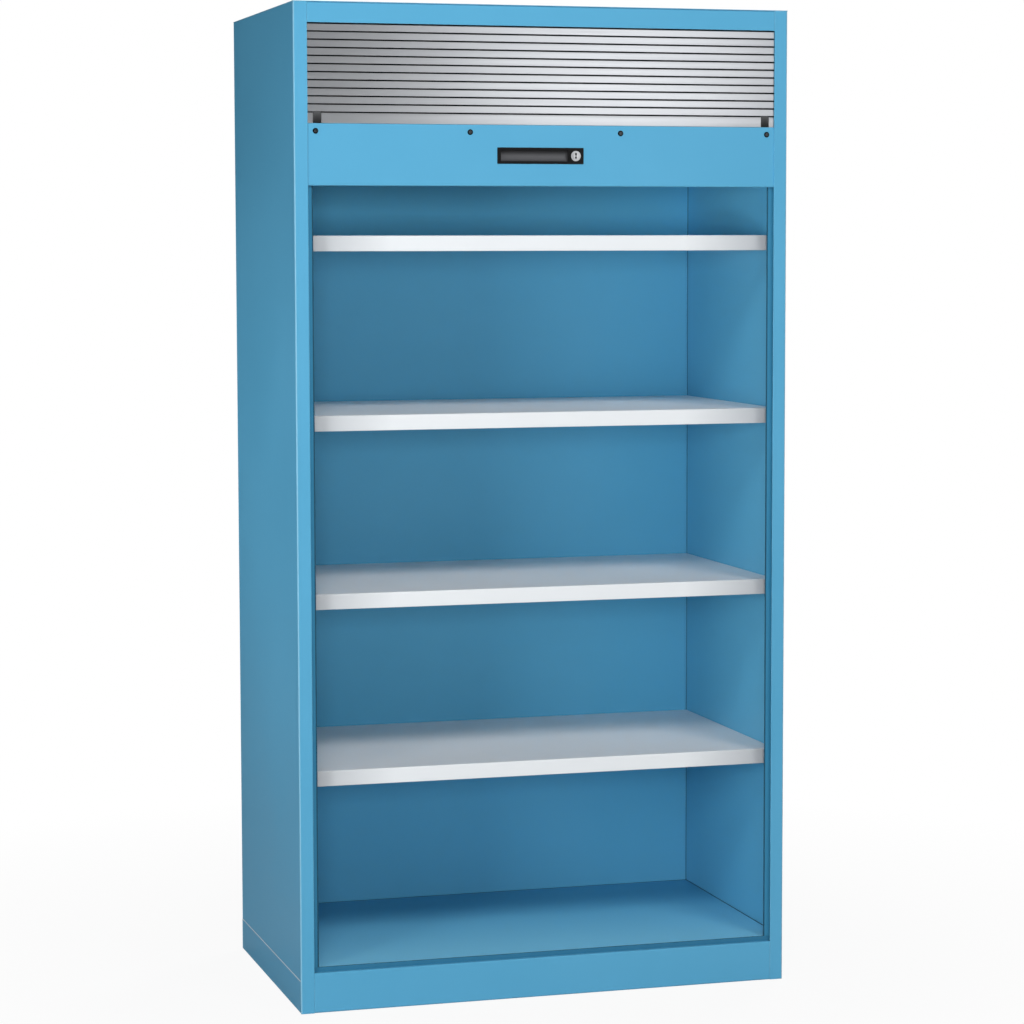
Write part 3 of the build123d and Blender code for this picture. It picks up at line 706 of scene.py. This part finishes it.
# %% Turn surfaces into pieces
SHARP_ANGLE = math.radians(35)
WELD_DISTANCE = 0.002 * MM


def shade(mesh):
    """Smooth shading, apart from the sharp edges."""
    mesh.shade_smooth()
    mesh.set_sharp_from_angle(angle=SHARP_ANGLE)


def add_mesh(name, points, faces):
    """An object whose mesh has these points and faces."""
    mesh = bpy.data.meshes.new(name)
    mesh.from_pydata(np.asarray(points, float).reshape(-1, 3).tolist(), [], faces)
    return add_object(name, mesh)


def make_piece(name, points, faces, finish_name, node):
    """A finished mesh that stands for a CAD node and rides on the same body."""
    body, stands_for = frame["nodes"][node]["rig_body"], [node]
    piece = add_mesh(name, points, faces)
    piece.data.materials.append(FINISHES[finish_name])
    piece.data.validate()
    shade(piece.data)
    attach(piece, body)
    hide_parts(*stands_for)
    return piece


def carry_value(piece, name, values):
    """Writes one number for each point of a mesh, for a material to read by its name."""
    layer = piece.data.attributes.new(name, "FLOAT", "POINT")
    layer.data.foreach_set("value", np.asarray(values, float).ravel())


def close_skin(piece):
    """Merges the points of rings that have shrunk to a line or a point, turns all faces outwards,
    and counts the edges that don't have exactly two faces."""
    skin = bmesh.new()
    skin.from_mesh(piece.data)
    bmesh.ops.remove_doubles(skin, verts=skin.verts, dist=WELD_DISTANCE)
    bmesh.ops.dissolve_degenerate(skin, edges=skin.edges, dist=WELD_DISTANCE)
    bmesh.ops.recalc_face_normals(skin, faces=skin.faces)
    skin.to_mesh(piece.data)
    open_edges = sum(len(edge.link_faces) != 2 for edge in skin.edges)
    skin.free()
    shade(piece.data)
    return open_edges


def node_box(node):
    """A node's middle, lowest and highest corner."""
    low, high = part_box(node)
    return (low + high) / 2, low, high


print("the end panel's middle:", [round(v, 3) for v in node_box("end_panel")[0]])

# %% [markdown]
# ## The slats
#
# Each slat of the roll front is one thin aluminium profile. Its face is slightly crowned, its
# top goes back to a tongue that ends in a hook, and its lower edge is turned up to a lip, in
# which the hook of the slat below hangs. The profile is drawn once as a short list of corners,
# in millimetres, every corner is rounded, and the outline is carried along the width of the
# curtain. Its copies lie one pitch apart.

# %% Draw one slat and repeat it
SLAT_PITCH = 15.22 * MM
SLAT_CORNERS = [(0.3, 12.8), (3.5, 12.8), (3.5, 17.0), (1.28, 17.0), (1.28, 17.8)]
SLAT_CORNERS += [(4.5, 17.8), (4.5, 11.8), (1.0, 11.8), (1.0, 0.8), (2.1, 0.8)]
SLAT_CORNERS += [(2.1, 1.5), (2.9, 1.5), (2.9, 0.0), (0.3, 0.0), (0.0, 6.4)]
SLAT_BENDS = [0.6, 0.3, 0.3, 0.25, 0.25, 0.4, 0.3, 0.3, 0.3, 0.25, 0.2, 0.25, 0.4, 0.6, 100.0]
SLAT_SECTION = rounded_outline(SLAT_CORNERS, SLAT_BENDS) * MM
SHADE_START = 0.5 * MM
SHADE_FADE = 1.2 * MM


def joint_depth(section):
    """How deep each point of a section lies behind the face, from 0 to 1."""
    return np.clip((section[:, 0] - SHADE_START) / SHADE_FADE, 0.0, 1.0)


def slat_run(name, node):
    """Every slat of one run: the lowest, and copies moved up by whole pitches."""
    low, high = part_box(node)
    count = round((high.z - low.z - SLAT_SECTION[:, 1].max()) / SLAT_PITCH) + 1
    slat, faces = straight_run(SLAT_SECTION, low.x, high.x, low.y, low.z)
    lifts = np.arange(count) * SLAT_PITCH
    points, faces = merge_surfaces([(slat + np.array([0.0, 0.0, lift]), faces) for lift in lifts])
    run = make_piece(name, points, faces, "slat_aluminium", node)
    carry_value(run, "joint_depth", np.tile(joint_depth(SLAT_SECTION), 2 * count))
    return run, count


for node_name in sorted(frame["nodes"].keys()):
    if node_name.startswith("curtain_leaf") or node_name == "curtain_front":
        run, slat_count = slat_run(node_name.replace("curtain", "slats"), node_name)
        print(run.name, "has", slat_count, "slats")

# %% [markdown]
# ## The end bar
#
# Below the lowest slat hangs the end bar, a taller profile with the same hook at its top. Its
# tail goes down behind the end panel, where the screws hold it. Two notches leave room for the
# stop buffers, so it is made of five runs: three with the whole profile, and between them two
# with the tail alone.

# %% Draw the end bar
END_BAR_CORNERS = [(0.0, 19.9), (3.5, 19.9), (3.5, 24.1), (1.28, 24.1), (1.28, 24.9)]
END_BAR_CORNERS += [(4.5, 24.9), (4.5, 18.9), (1.5, 18.9), (1.5, -23.0), (4.5, -23.0)]
END_BAR_CORNERS += [(4.5, -24.0), (0.5, -24.0), (0.5, 0.3), (0.0, 0.3)]
END_BAR_BENDS = [0.5, 0.3, 0.3, 0.25, 0.25, 0.4, 0.3, 0.3, 0.3, 0.25, 0.25, 0.4, 0.15, 0.2]
TAIL_CORNERS = [(0.5, 0.3), (1.5, 0.3), *END_BAR_CORNERS[8:12]]
TAIL_BENDS = [0.25, 0.25, 0.3, 0.25, 0.25, 0.4]
BUFFER_PLAY = 0.3 * MM
BUFFER_HALF = 8.0 * MM
PANEL_TOP_TO_LOW = 24.0 * MM

bar_low, bar_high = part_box("end_bar")
stops_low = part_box("stop_buffers")[0]
whole = rounded_outline(END_BAR_CORNERS, END_BAR_BENDS, steps=2) * MM
tail = rounded_outline(TAIL_CORNERS, TAIL_BENDS, steps=2) * MM
notch_start = stops_low.x - BUFFER_PLAY
notch_end = stops_low.x + 2 * BUFFER_HALF + BUFFER_PLAY
bar_cuts = [bar_low.x, notch_start, notch_end, -notch_end, -notch_start, bar_high.x]
bar_sections = [whole, tail, whole, tail, whole]
bar_runs = [
    straight_run(section, start, end, bar_low.y, bar_low.z + PANEL_TOP_TO_LOW)
    for section, start, end in zip(bar_sections, bar_cuts, bar_cuts[1:])
]
points, faces = merge_surfaces(bar_runs)
end_bar = make_piece("end_bar_profile", points, faces, "slat_aluminium", "end_bar")
bar_depths = [np.tile(joint_depth(section), 2) for section in bar_sections]
carry_value(end_bar, "joint_depth", np.concatenate(bar_depths))
print("end bar:", len(end_bar.data.polygons), "faces")

# %% [markdown]
# ## The sides of the plinth
#
# The plinth is a folded sheet: a flange to stand on, and an upright whose top edge is rolled and
# meets the wall in a seam. That roll carries a painted highlight, a pale tone that draws the light
# line along each side of the case. The section is drawn from the outside inwards. A run along X
# turns into one along Y when both coordinates change places, and that also turns its faces inside
# out, so the left side, which isn't mirrored as well, has them turned back.

# %% Fold the plinth
PLINTH_CORNERS = [(25.0, 0.0), (0.0, 0.0), (0.0, 65.5), (1.5, 65.5), (1.5, 1.5), (25.0, 1.5)]
PLINTH_BENDS = [0.4, 2.5, 0.72, 0.72, 1.0, 0.4]
ROLL_START = 63.0 * MM
ROLL_FADE = 0.4 * MM
ROLL_POINT = 10
plinth_section = rounded_outline(PLINTH_CORNERS, PLINTH_BENDS, steps=4) * MM
below_roll = [(0.0, ROLL_START), (0.0, ROLL_START + ROLL_FADE)]
plinth_section = np.insert(plinth_section, ROLL_POINT, below_roll, axis=0)
# Painted highlight on the roll of the seam, by height.
seam_highlight = np.clip((plinth_section[:, 1] - ROLL_START) / ROLL_FADE, 0.0, 1.0)
for node_name, hand in (("plinth_left", -1), ("plinth_right", 1)):
    low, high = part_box(node_name)
    outside = low.x if hand < 0 else high.x
    inwards = plinth_section * np.array([-hand, 1])
    points, faces = straight_run(inwards, low.y, high.y, outside, 0.0)
    if hand < 0:
        faces = [face[::-1] for face in faces]
    fold_name = node_name.replace("plinth", "plinth_fold")
    side = make_piece(fold_name, points[:, [1, 0, 2]], faces, "blue_coat", node_name)
    carry_value(side, "seam_highlight", np.tile(seam_highlight, 2))
    print(side.name, "is", round(high.y - low.y, 3), "m long")

# %% [markdown]
# ## Rings for moulded and turned parts
#
# The handle, the lock, the screws and the buffers are all made the same way. Think of a stack of
# closed rings, each at its own depth, that lead from the middle of the front, out over the face,
# round the edge and back to the middle behind. Joining each ring to the next gives a closed
# skin. A ring is a rounded rectangle, or any outline given as a radius for each angle, and it
# may change on the way, which is how a six-sided socket sits in a round head.

# %% Write the ring functions
def rounded_rectangles(half_width, half_height, corner, steps=5):
    """A rounded rectangle for each entry of the lists: four quarter circles of radius corner, whose
    centres lie one radius inside the sides. All have the same number of points."""
    half_width, half_height, corner = (
        np.asarray(size, float)[:, None] for size in (half_width, half_height, corner)
    )
    quarter = np.arange(4).repeat(steps + 1)
    angle = (quarter + np.tile(np.linspace(0, 1, steps + 1), 4)) * math.pi / 2
    side = np.array([1, -1, -1, 1])[quarter]
    top = np.array([1, 1, -1, -1])[quarter]
    across = side * (half_width - corner) + corner * np.cos(angle)
    upward = top * (half_height - corner) + corner * np.sin(angle)
    return np.stack([across, upward], -1)


def place_rings(rings, depths, centre):
    """Rings drawn in X and Z become points in space, at their depths in Y and round a centre."""
    points = np.zeros((*rings.shape[:2], 3))
    points[..., 0] = centre[0] + rings[..., 0]
    points[..., 1] = np.asarray(depths, float)[:, None]
    points[..., 2] = centre[1] + rings[..., 1]
    return points


def turned(rows, steps, depth, centre):
    """Lathe work. A row gives a radius, or one for each angle, and what is added to the depth. Its
    ring is radius x cosine and radius x sine of angles all the way round."""
    angle = np.arange(steps) * 2 * math.pi / steps
    radii = np.array([np.broadcast_to(row[0], steps) for row in rows])
    rings = np.stack([radii * np.cos(angle), radii * np.sin(angle)], -1)
    return place_rings(rings, depth + np.array([row[1] for row in rows]), centre)


def rounded_edge(radius, steps):
    """How far inside and how deep each ring of a rounded edge lies: radius x (1 - sine) and
    radius x (1 - cosine) of angles up to a quarter turn."""
    quarter = np.radians(np.linspace(0, 90, steps))
    return [(radius * (1 - math.sin(t)), radius * (1 - math.cos(t))) for t in quarter]


def side_by_side(one, middles):
    """Copies of a stack of rings that is drawn round X = 0, one at each middle."""
    faces = grid_faces(*one.shape[:2])
    flat = one.reshape(-1, 3)
    return merge_surfaces([(flat + np.array([middle, 0.0, 0.0]), faces) for middle in middles])


print("a ring has", rounded_rectangles([1], [1], [0.1]).shape[1], "points")

# %% [markdown]
# ## The handle housing
#
# The handle is one black moulding: a flat bezel with a softly rounded edge, a half-round finger
# trough sunk into it, and behind the panel the shell of the trough. From the bottom of the
# trough outwards, a ring is as high as the circle is at its depth: radius x cosine of an angle,
# at a depth of radius x sine of the same angle. The trough isn't in the middle of the bezel, so
# each ring also has a share of the sideways shift. The trough's grey is painted shading: darkest
# at the top, under the lip, and brightest a little below the middle.

# %% Mould the handle housing
handle_middle, handle_low = node_box("handle_housing")[:2]
HANDLE_HALF = 87.5 * MM
HANDLE_HALF_HEIGHT = 15.75 * MM
BEZEL_PROUD = 1.2 * MM
BEZEL_EDGE = 0.6 * MM
BEZEL_CORNER = 1.2 * MM
TROUGH_HALF = 67.5 * MM
TROUGH_RADIUS = 10.5 * MM
TROUGH_SHIFT = -13.0 * MM
TROUGH_CORNER = 0.6 * MM
TROUGH_RIM = 0.5 * MM
END_HOLLOW = 2.5 * MM
SHELL_WALL = 1.8 * MM
SEAT_INSET = 2.2 * MM
SEAT_DEPTH = 2.5 * MM


def trough_row(half, radius, angle, grey):
    """A ring of the trough or of its shell, at an angle from the face down into the trough."""
    return (half, radius * math.cos(angle), TROUGH_CORNER, radius * math.sin(angle), 1, grey)


def bezel_row(inset, depth):
    """A ring of the bezel, as far inside its outline as the inset."""
    return (HANDLE_HALF - inset, HANDLE_HALF_HEIGHT - inset, BEZEL_CORNER, depth, 0, 0)


def handle_rings():
    """Half width, half height, corner radius, depth, share of the shift and share of the grey tone
    of each ring, from the bottom of the trough over the bezel to the back of its shell."""
    rows = [
        trough_row(TROUGH_HALF - END_HOLLOW * math.sin(t) ** 4, TROUGH_RADIUS, t, 1)
        for t in np.radians(np.linspace(90, 8, 12))
    ]
    rim = TROUGH_RIM * 0.3
    for out, depth, grey in ((0, TROUGH_RIM, 0.6), (rim, rim, 0.1), (TROUGH_RIM, 0, 0)):
        rows += [(TROUGH_HALF + out, TROUGH_RADIUS + out, TROUGH_CORNER, depth, 1, grey)]
    rows += [bezel_row(inset, depth) for inset, depth in rounded_edge(BEZEL_EDGE, 5)]
    rows += [bezel_row(0, BEZEL_PROUD), bezel_row(SEAT_INSET, BEZEL_PROUD)]
    rows += [bezel_row(SEAT_INSET, BEZEL_PROUD + SEAT_DEPTH)]
    shell = TROUGH_RADIUS + SHELL_WALL
    shell_start = math.asin((BEZEL_PROUD + SEAT_DEPTH) / shell)
    rise = np.linspace(shell_start, math.pi / 2, 10)
    rows += [trough_row(TROUGH_HALF + SHELL_WALL, shell, t, 0) for t in rise]
    return np.array(rows)


table = handle_rings()
corner_radii = np.minimum(table[:, 2], 0.9 * table[:, 1])
outlines = rounded_rectangles(table[:, 0], table[:, 1], corner_radii)
outlines[..., 0] += table[:, 4:5] * TROUGH_SHIFT
points = place_rings(outlines, handle_low.y + table[:, 3], (handle_middle.x, handle_middle.z))
faces = grid_faces(*points.shape[:2])
handle = make_piece("handle_moulding", points, faces, "black_plastic", "handle_housing")
# Painted shading of the trough's grey: darkest at the top, brightest a little below the middle.
height = (points[..., 2] - handle_middle.z) / TROUGH_RADIUS
trough_shading = (0.85 - 0.3 * height - 0.45 * height**2).clip(0, 1)
carry_value(handle, "second_tone", table[:, 5:] * trough_shading)
print("handle, open edges:", close_skin(handle))

# %% [markdown]
# ## The hole for the lock
#
# The lock stands in a round hole at the right of the trough. A hole that isn't in the middle
# doesn't fit into rings, so it is drilled: a Boolean modifier subtracts a cylinder, and the
# result is kept as the handle's new mesh.

# %% Drill the hole
DRILL_STEPS = 64


def drill(piece, radius, centre, front, back):
    """Subtracts a cylinder along Y: two rings of one radius and their two end faces."""
    points = turned([(radius, front), (radius, back)], DRILL_STEPS, 0.0, centre)
    ends = [list(range(DRILL_STEPS))[::-1], list(range(DRILL_STEPS, 2 * DRILL_STEPS))]
    bit = add_mesh("drill_bit", points, grid_faces(2, DRILL_STEPS) + ends)
    close_skin(bit)
    cut = piece.modifiers.new("hole", "BOOLEAN")
    cut.operation = "DIFFERENCE"
    cut.solver = "EXACT"
    cut.object = bit
    bpy.context.view_layer.update()
    solved = piece.evaluated_get(bpy.context.evaluated_depsgraph_get())
    shaped = bpy.data.meshes.new_from_object(solved)
    piece.modifiers.clear()
    piece.data = shaped
    bpy.data.objects.remove(bit)
    shade(shaped)
    return len(shaped.polygons)


COLLAR_SEAT = 8.5 * MM
DRILL_PLAY = 0.05 * MM
DRILL_SPARE = 1.0 * MM
lock_middle, lock_low, lock_high = node_box("lock_collar")
lock_centre = (lock_middle.x, lock_middle.z)
hole_faces = drill(
    handle,
    COLLAR_SEAT + DRILL_PLAY,
    lock_centre,
    front=lock_low.y - DRILL_SPARE,
    back=lock_high.y + DRILL_SPARE,
)
print("handle after drilling:", hole_faces, "faces")

# %% [markdown]
# ## The lock
#
# The lock is a polished collar with a plug turning in it. Both are lathe work: the same circle
# again and again, with a radius and a depth for each. The collar is a tube, so its last ring is
# joined to its first. The plug's face has the keyway, a slot with a round eye at each end. Its
# outline is the distance at which a line from the middle leaves the slot or an eye, and the face
# runs from that outline to the plug's edge. Inside, the keyway carries the dark value, as painted
# shade.

# %% Turn the collar
ROUND_STEPS = 120
COLLAR_RADIUS = 10.0 * MM
COLLAR_PROUD = 0.6 * MM
COLLAR_BORE = 7.05 * MM
COLLAR_PROFILE = [
    (COLLAR_BORE, 0.16 * MM),
    (COLLAR_BORE + 0.2 * MM, 0.04 * MM),
    (7.9 * MM, 0.12 * MM),
    (8.7 * MM, 0.06 * MM),
    (9.3 * MM, 0.0),
    (9.7 * MM, 0.06 * MM),
    (COLLAR_RADIUS, 0.3 * MM),
    (COLLAR_RADIUS, COLLAR_PROUD),
    (COLLAR_SEAT, COLLAR_PROUD),
    (COLLAR_SEAT, lock_high.y - lock_low.y),
    (COLLAR_BORE, lock_high.y - lock_low.y),
]
points = turned(COLLAR_PROFILE, ROUND_STEPS, lock_low.y, lock_centre)
faces = grid_faces(*points.shape[:2], rows_wrap=True)
collar = make_piece("lock_ring", points, faces, "lock_chrome", "lock_collar")
print("collar, open edges:", close_skin(collar))

# %% Turn the plug and cut its keyway
PLUG_RADIUS = 7.0 * MM
PLUG_LENGTH = 4.5 * MM
SPINDLE_RADIUS = 4.0 * MM
KEYWAY_HALF = 0.7 * MM
KEYWAY_END = 4.0 * MM
KEYWAY_DEPTH = 2.4 * MM
UPPER_EYE = (3.9 * MM, 2.0 * MM)
LOWER_EYE = (-3.3 * MM, 1.9 * MM)
NEVER_ZERO = 1e-6


def keyway_outline(steps):
    """For each angle the largest of three distances: to the slot's side or end, which is half its
    width / cosine or half its length / sine, and to the far side of each eye, where it is met at
    all: the eye's place along the line + the root of its radius squared - its distance from the
    line squared."""
    angle = np.arange(steps) * 2 * math.pi / steps
    cosine, sine = np.cos(angle), np.sin(angle)
    side = KEYWAY_HALF / np.maximum(np.abs(cosine), NEVER_ZERO)
    end = KEYWAY_END / np.maximum(np.abs(sine), NEVER_ZERO)
    reach = np.minimum(side, end)
    for height, radius in (UPPER_EYE, LOWER_EYE):
        along = height * sine
        apart = radius**2 - (height * cosine) ** 2
        far = np.where((apart > 0) & (along > 0), along + np.sqrt(np.maximum(apart, 0)), 0)
        reach = np.maximum(reach, far)
    return reach


plug_low, plug_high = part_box("lock_plug")
keyway = keyway_outline(ROUND_STEPS)
plug_end = plug_high.y - plug_low.y
plug_rows = [
    (0, KEYWAY_DEPTH, 1),
    (keyway, KEYWAY_DEPTH, 1),
    (keyway, 0.25 * MM, 1),
    (keyway, 0.12 * MM, 0.3),
    (keyway + 0.1 * MM, 0, 0),
    (0.4 * keyway + 3.9 * MM, 0, 0),
    (6.6 * MM, 0, 0),
    (6.9 * MM, 0.08 * MM, 0),
    (PLUG_RADIUS, 0.3 * MM, 0),
    (PLUG_RADIUS, PLUG_LENGTH, 0),
    (SPINDLE_RADIUS, PLUG_LENGTH, 0),
    (SPINDLE_RADIUS, plug_end, 0),
    (0, plug_end, 0),
]
points = turned(plug_rows, ROUND_STEPS, plug_low.y, lock_centre)
faces = grid_faces(*points.shape[:2])
plug = make_piece("lock_cylinder", points, faces, "lock_chrome", "lock_plug")
# Painted shade inside the keyway.
carry_value(plug, "hollow", np.repeat([row[2] for row in plug_rows], ROUND_STEPS))
print("plug, open edges:", close_skin(plug))

# %% [markdown]
# ## The four screws
#
# Blackened screws with a low domed head hold the end bar to the panel. The head's rings are
# circles, but those of the socket are six-sided: the distance to a flat side is the same at its
# middle, so at other angles it is that distance / cosine of the angle from the side's middle.
# The middle of each head is left lighter as a painted highlight and the socket is partly dark as
# painted shade; beyond the middle the dark value gives the head its black.

# %% Turn the screws
SCREW_STEPS = 48
SCREW_COUNT = 4
SCREW_HEAD = 5.5
SCREW_SOCKET = 2.0
SCREW_SHANK = 2.5
screw_middle, screw_low, screw_high = node_box("panel_screws")
angle = np.arange(SCREW_STEPS) * 2 * math.pi / SCREW_STEPS
socket = SCREW_SOCKET / np.cos((angle + math.pi / 6) % (math.pi / 3) - math.pi / 6)
screw_rows = [
    (0, 1.1, 0.2),
    (socket, 1.1, 0.5),
    (socket, 0.2, 0.3),
    (2.5, 0.0, 0.0),
    (3.1, 0.04, 0.5),
    (3.8, 0.12, 1),
    (4.6, 0.35, 1),
    (5.2, 0.75, 1),
    (SCREW_HEAD, 1.25, 1),
    (SCREW_HEAD, 1.8, 1),
    (SCREW_SHANK, 1.8, 1),
    (SCREW_SHANK, 6.3, 1),
    (0, 6.3, 1),
]
rows_in_metres = [(radius * MM, depth * MM) for radius, depth, dark in screw_rows]
one_screw = turned(rows_in_metres, SCREW_STEPS, screw_low.y, (0, screw_middle.z))
head = SCREW_HEAD * MM
middles = np.linspace(screw_low.x + head, screw_high.x - head, SCREW_COUNT)
points, faces = side_by_side(one_screw, middles)
screws = make_piece("socket_screws", points, faces, "black_steel", "panel_screws")
# Dark values: painted shade in the socket, a painted highlight left in the middle, black beyond.
screw_darks = np.repeat([row[2] for row in screw_rows], SCREW_STEPS)
carry_value(screws, "hollow", np.tile(screw_darks, SCREW_COUNT))
print("screws, open edges:", close_skin(screws))

# %% [markdown]
# ## The stop buffers
#
# Two rubber blocks sit in the notches of the end bar and stop the roll front softly. Each is a
# stack of rounded rectangles: a flat face, a well rounded edge, straight sides and a flat back.
# The rubber is painted paler towards the top as a painted highlight, so the second tone follows the
# height.

# %% Mould the buffers
BUFFER_EDGE = 1.4 * MM
BUFFER_CORNER = 1.5 * MM
buffer_middle, buffer_low, buffer_high = node_box("stop_buffers")
half_height = (buffer_high.z - buffer_low.z) / 2
buffer_depth = buffer_high.y - buffer_low.y
buffer_rows = [(0.0, half_height - BUFFER_HALF, 0.0, 0.0)]
for inset, depth in rounded_edge(BUFFER_EDGE, 6):
    buffer_rows += [(BUFFER_HALF - inset, half_height - inset, BUFFER_CORNER, depth)]
buffer_rows += [(BUFFER_HALF, half_height, BUFFER_CORNER, buffer_depth)]
buffer_rows += [(0.0, half_height - BUFFER_HALF, 0.0, buffer_depth)]
table = np.array(buffer_rows)
rings = rounded_rectangles(*table[:, :3].T)
one_buffer = place_rings(rings, buffer_low.y + table[:, 3], (0, buffer_middle.z))
middles = [buffer_low.x + BUFFER_HALF, buffer_high.x - BUFFER_HALF]
points, faces = side_by_side(one_buffer, middles)
buffers = make_piece("rubber_stops", points, faces, "buffer_rubber", "stop_buffers")
# Painted highlight: the second tone grows towards the top.
height_share = (points[:, 2] - buffer_low.z) / (2 * half_height)
carry_value(buffers, "second_tone", height_share**2)
print("buffers, open edges:", close_skin(buffers))

# %% [markdown]
# ## Floor and background
#
# The floor is a wide pale plane that keeps the soft shadow of the plinth. To the camera it glows
# most of the way to white, so that it melts into the white background; to the cabinet it is just
# a pale floor that bounces a little light.

# %% Lay the floor and paint the sky
FLOOR_HALF = 30.0
FLOOR_GREY = (0.55, 0.55, 0.55, 1.0)
WHITE = (1.0, 1.0, 1.0, 1.0)


def lay_floor():
    """A square plane under the cabinet, white to the camera apart from the shadow on it."""
    signs = ((-1, -1), (1, -1), (1, 1), (-1, 1))
    corners = [(x * FLOOR_HALF, y * FLOOR_HALF, 0) for x, y in signs]
    floor = add_mesh("studio_floor", corners, [(0, 1, 2, 3)])
    finish, tree, shader = start_material("studio_floor", base_color=FLOOR_GREY, roughness=0.9)
    glow = add_node(tree, "Emission", {"Color": WHITE, "Strength": 1.0})
    distance = combine_vectors(tree, "LENGTH", object_place(tree), (0.0, 0.0, 0.0), "Value")
    near_share = ramp(tree, distance, start=0.7, end=2.0, low=0.93, high=1.0)
    seen = add_node(tree, "LightPath").outputs["Is Camera Ray"]
    share = combine(tree, "MULTIPLY", seen, near_share)
    both = {"Fac": share, 1: shader.outputs["BSDF"], 2: glow.outputs["Emission"]}
    blend = add_node(tree, "MixShader", both)
    join(tree, blend.outputs["Shader"], tree.nodes["Material Output"].inputs["Surface"])
    floor.data.materials.append(finish)


def paint_sky(fill_strength, front_strength, back_strength):
    """White to the camera. In reflections it is grey, paler towards the front than towards the back
    and paler towards the right than towards the left, as between the walls of a studio. Elsewhere
    it fills every corner with a little light."""
    world = bpy.data.worlds.new("studio_sky")
    bpy.context.scene.world = world
    world.use_nodes = True
    tree = world.node_tree
    path = add_node(tree, "LightPath").outputs
    direction = add_node(tree, "TexCoord").outputs["Generated"]
    axes = add_node(tree, "SeparateXYZ", {"Vector": direction}).outputs
    lengthways = ramp(tree, axes["Y"], -1.0, 1.0, front_strength, back_strength)
    sideways = ramp(tree, axes["X"], start=0.1, end=0.45, low=0.45, high=1.6)
    walls = combine(tree, "MULTIPLY", lengthways, sideways)
    through = combine(tree, "MAXIMUM", path["Is Camera Ray"], path["Is Transmission Ray"])
    fill = add_node(tree, "Mix", {"Factor": path["Is Glossy Ray"], "A": fill_strength, "B": walls})
    level = add_node(tree, "Mix", {"Factor": through, "A": fill.outputs["Result"], "B": 1.0})
    background = tree.nodes["Background"]
    background.inputs["Color"].default_value = WHITE
    join(tree, level.outputs["Result"], background.inputs["Strength"])


lay_floor()
paint_sky(fill_strength=0.04, front_strength=0.36, back_strength=0.05)
bpy.context.scene.view_settings.view_transform = "Standard"
print("floor and sky in place")
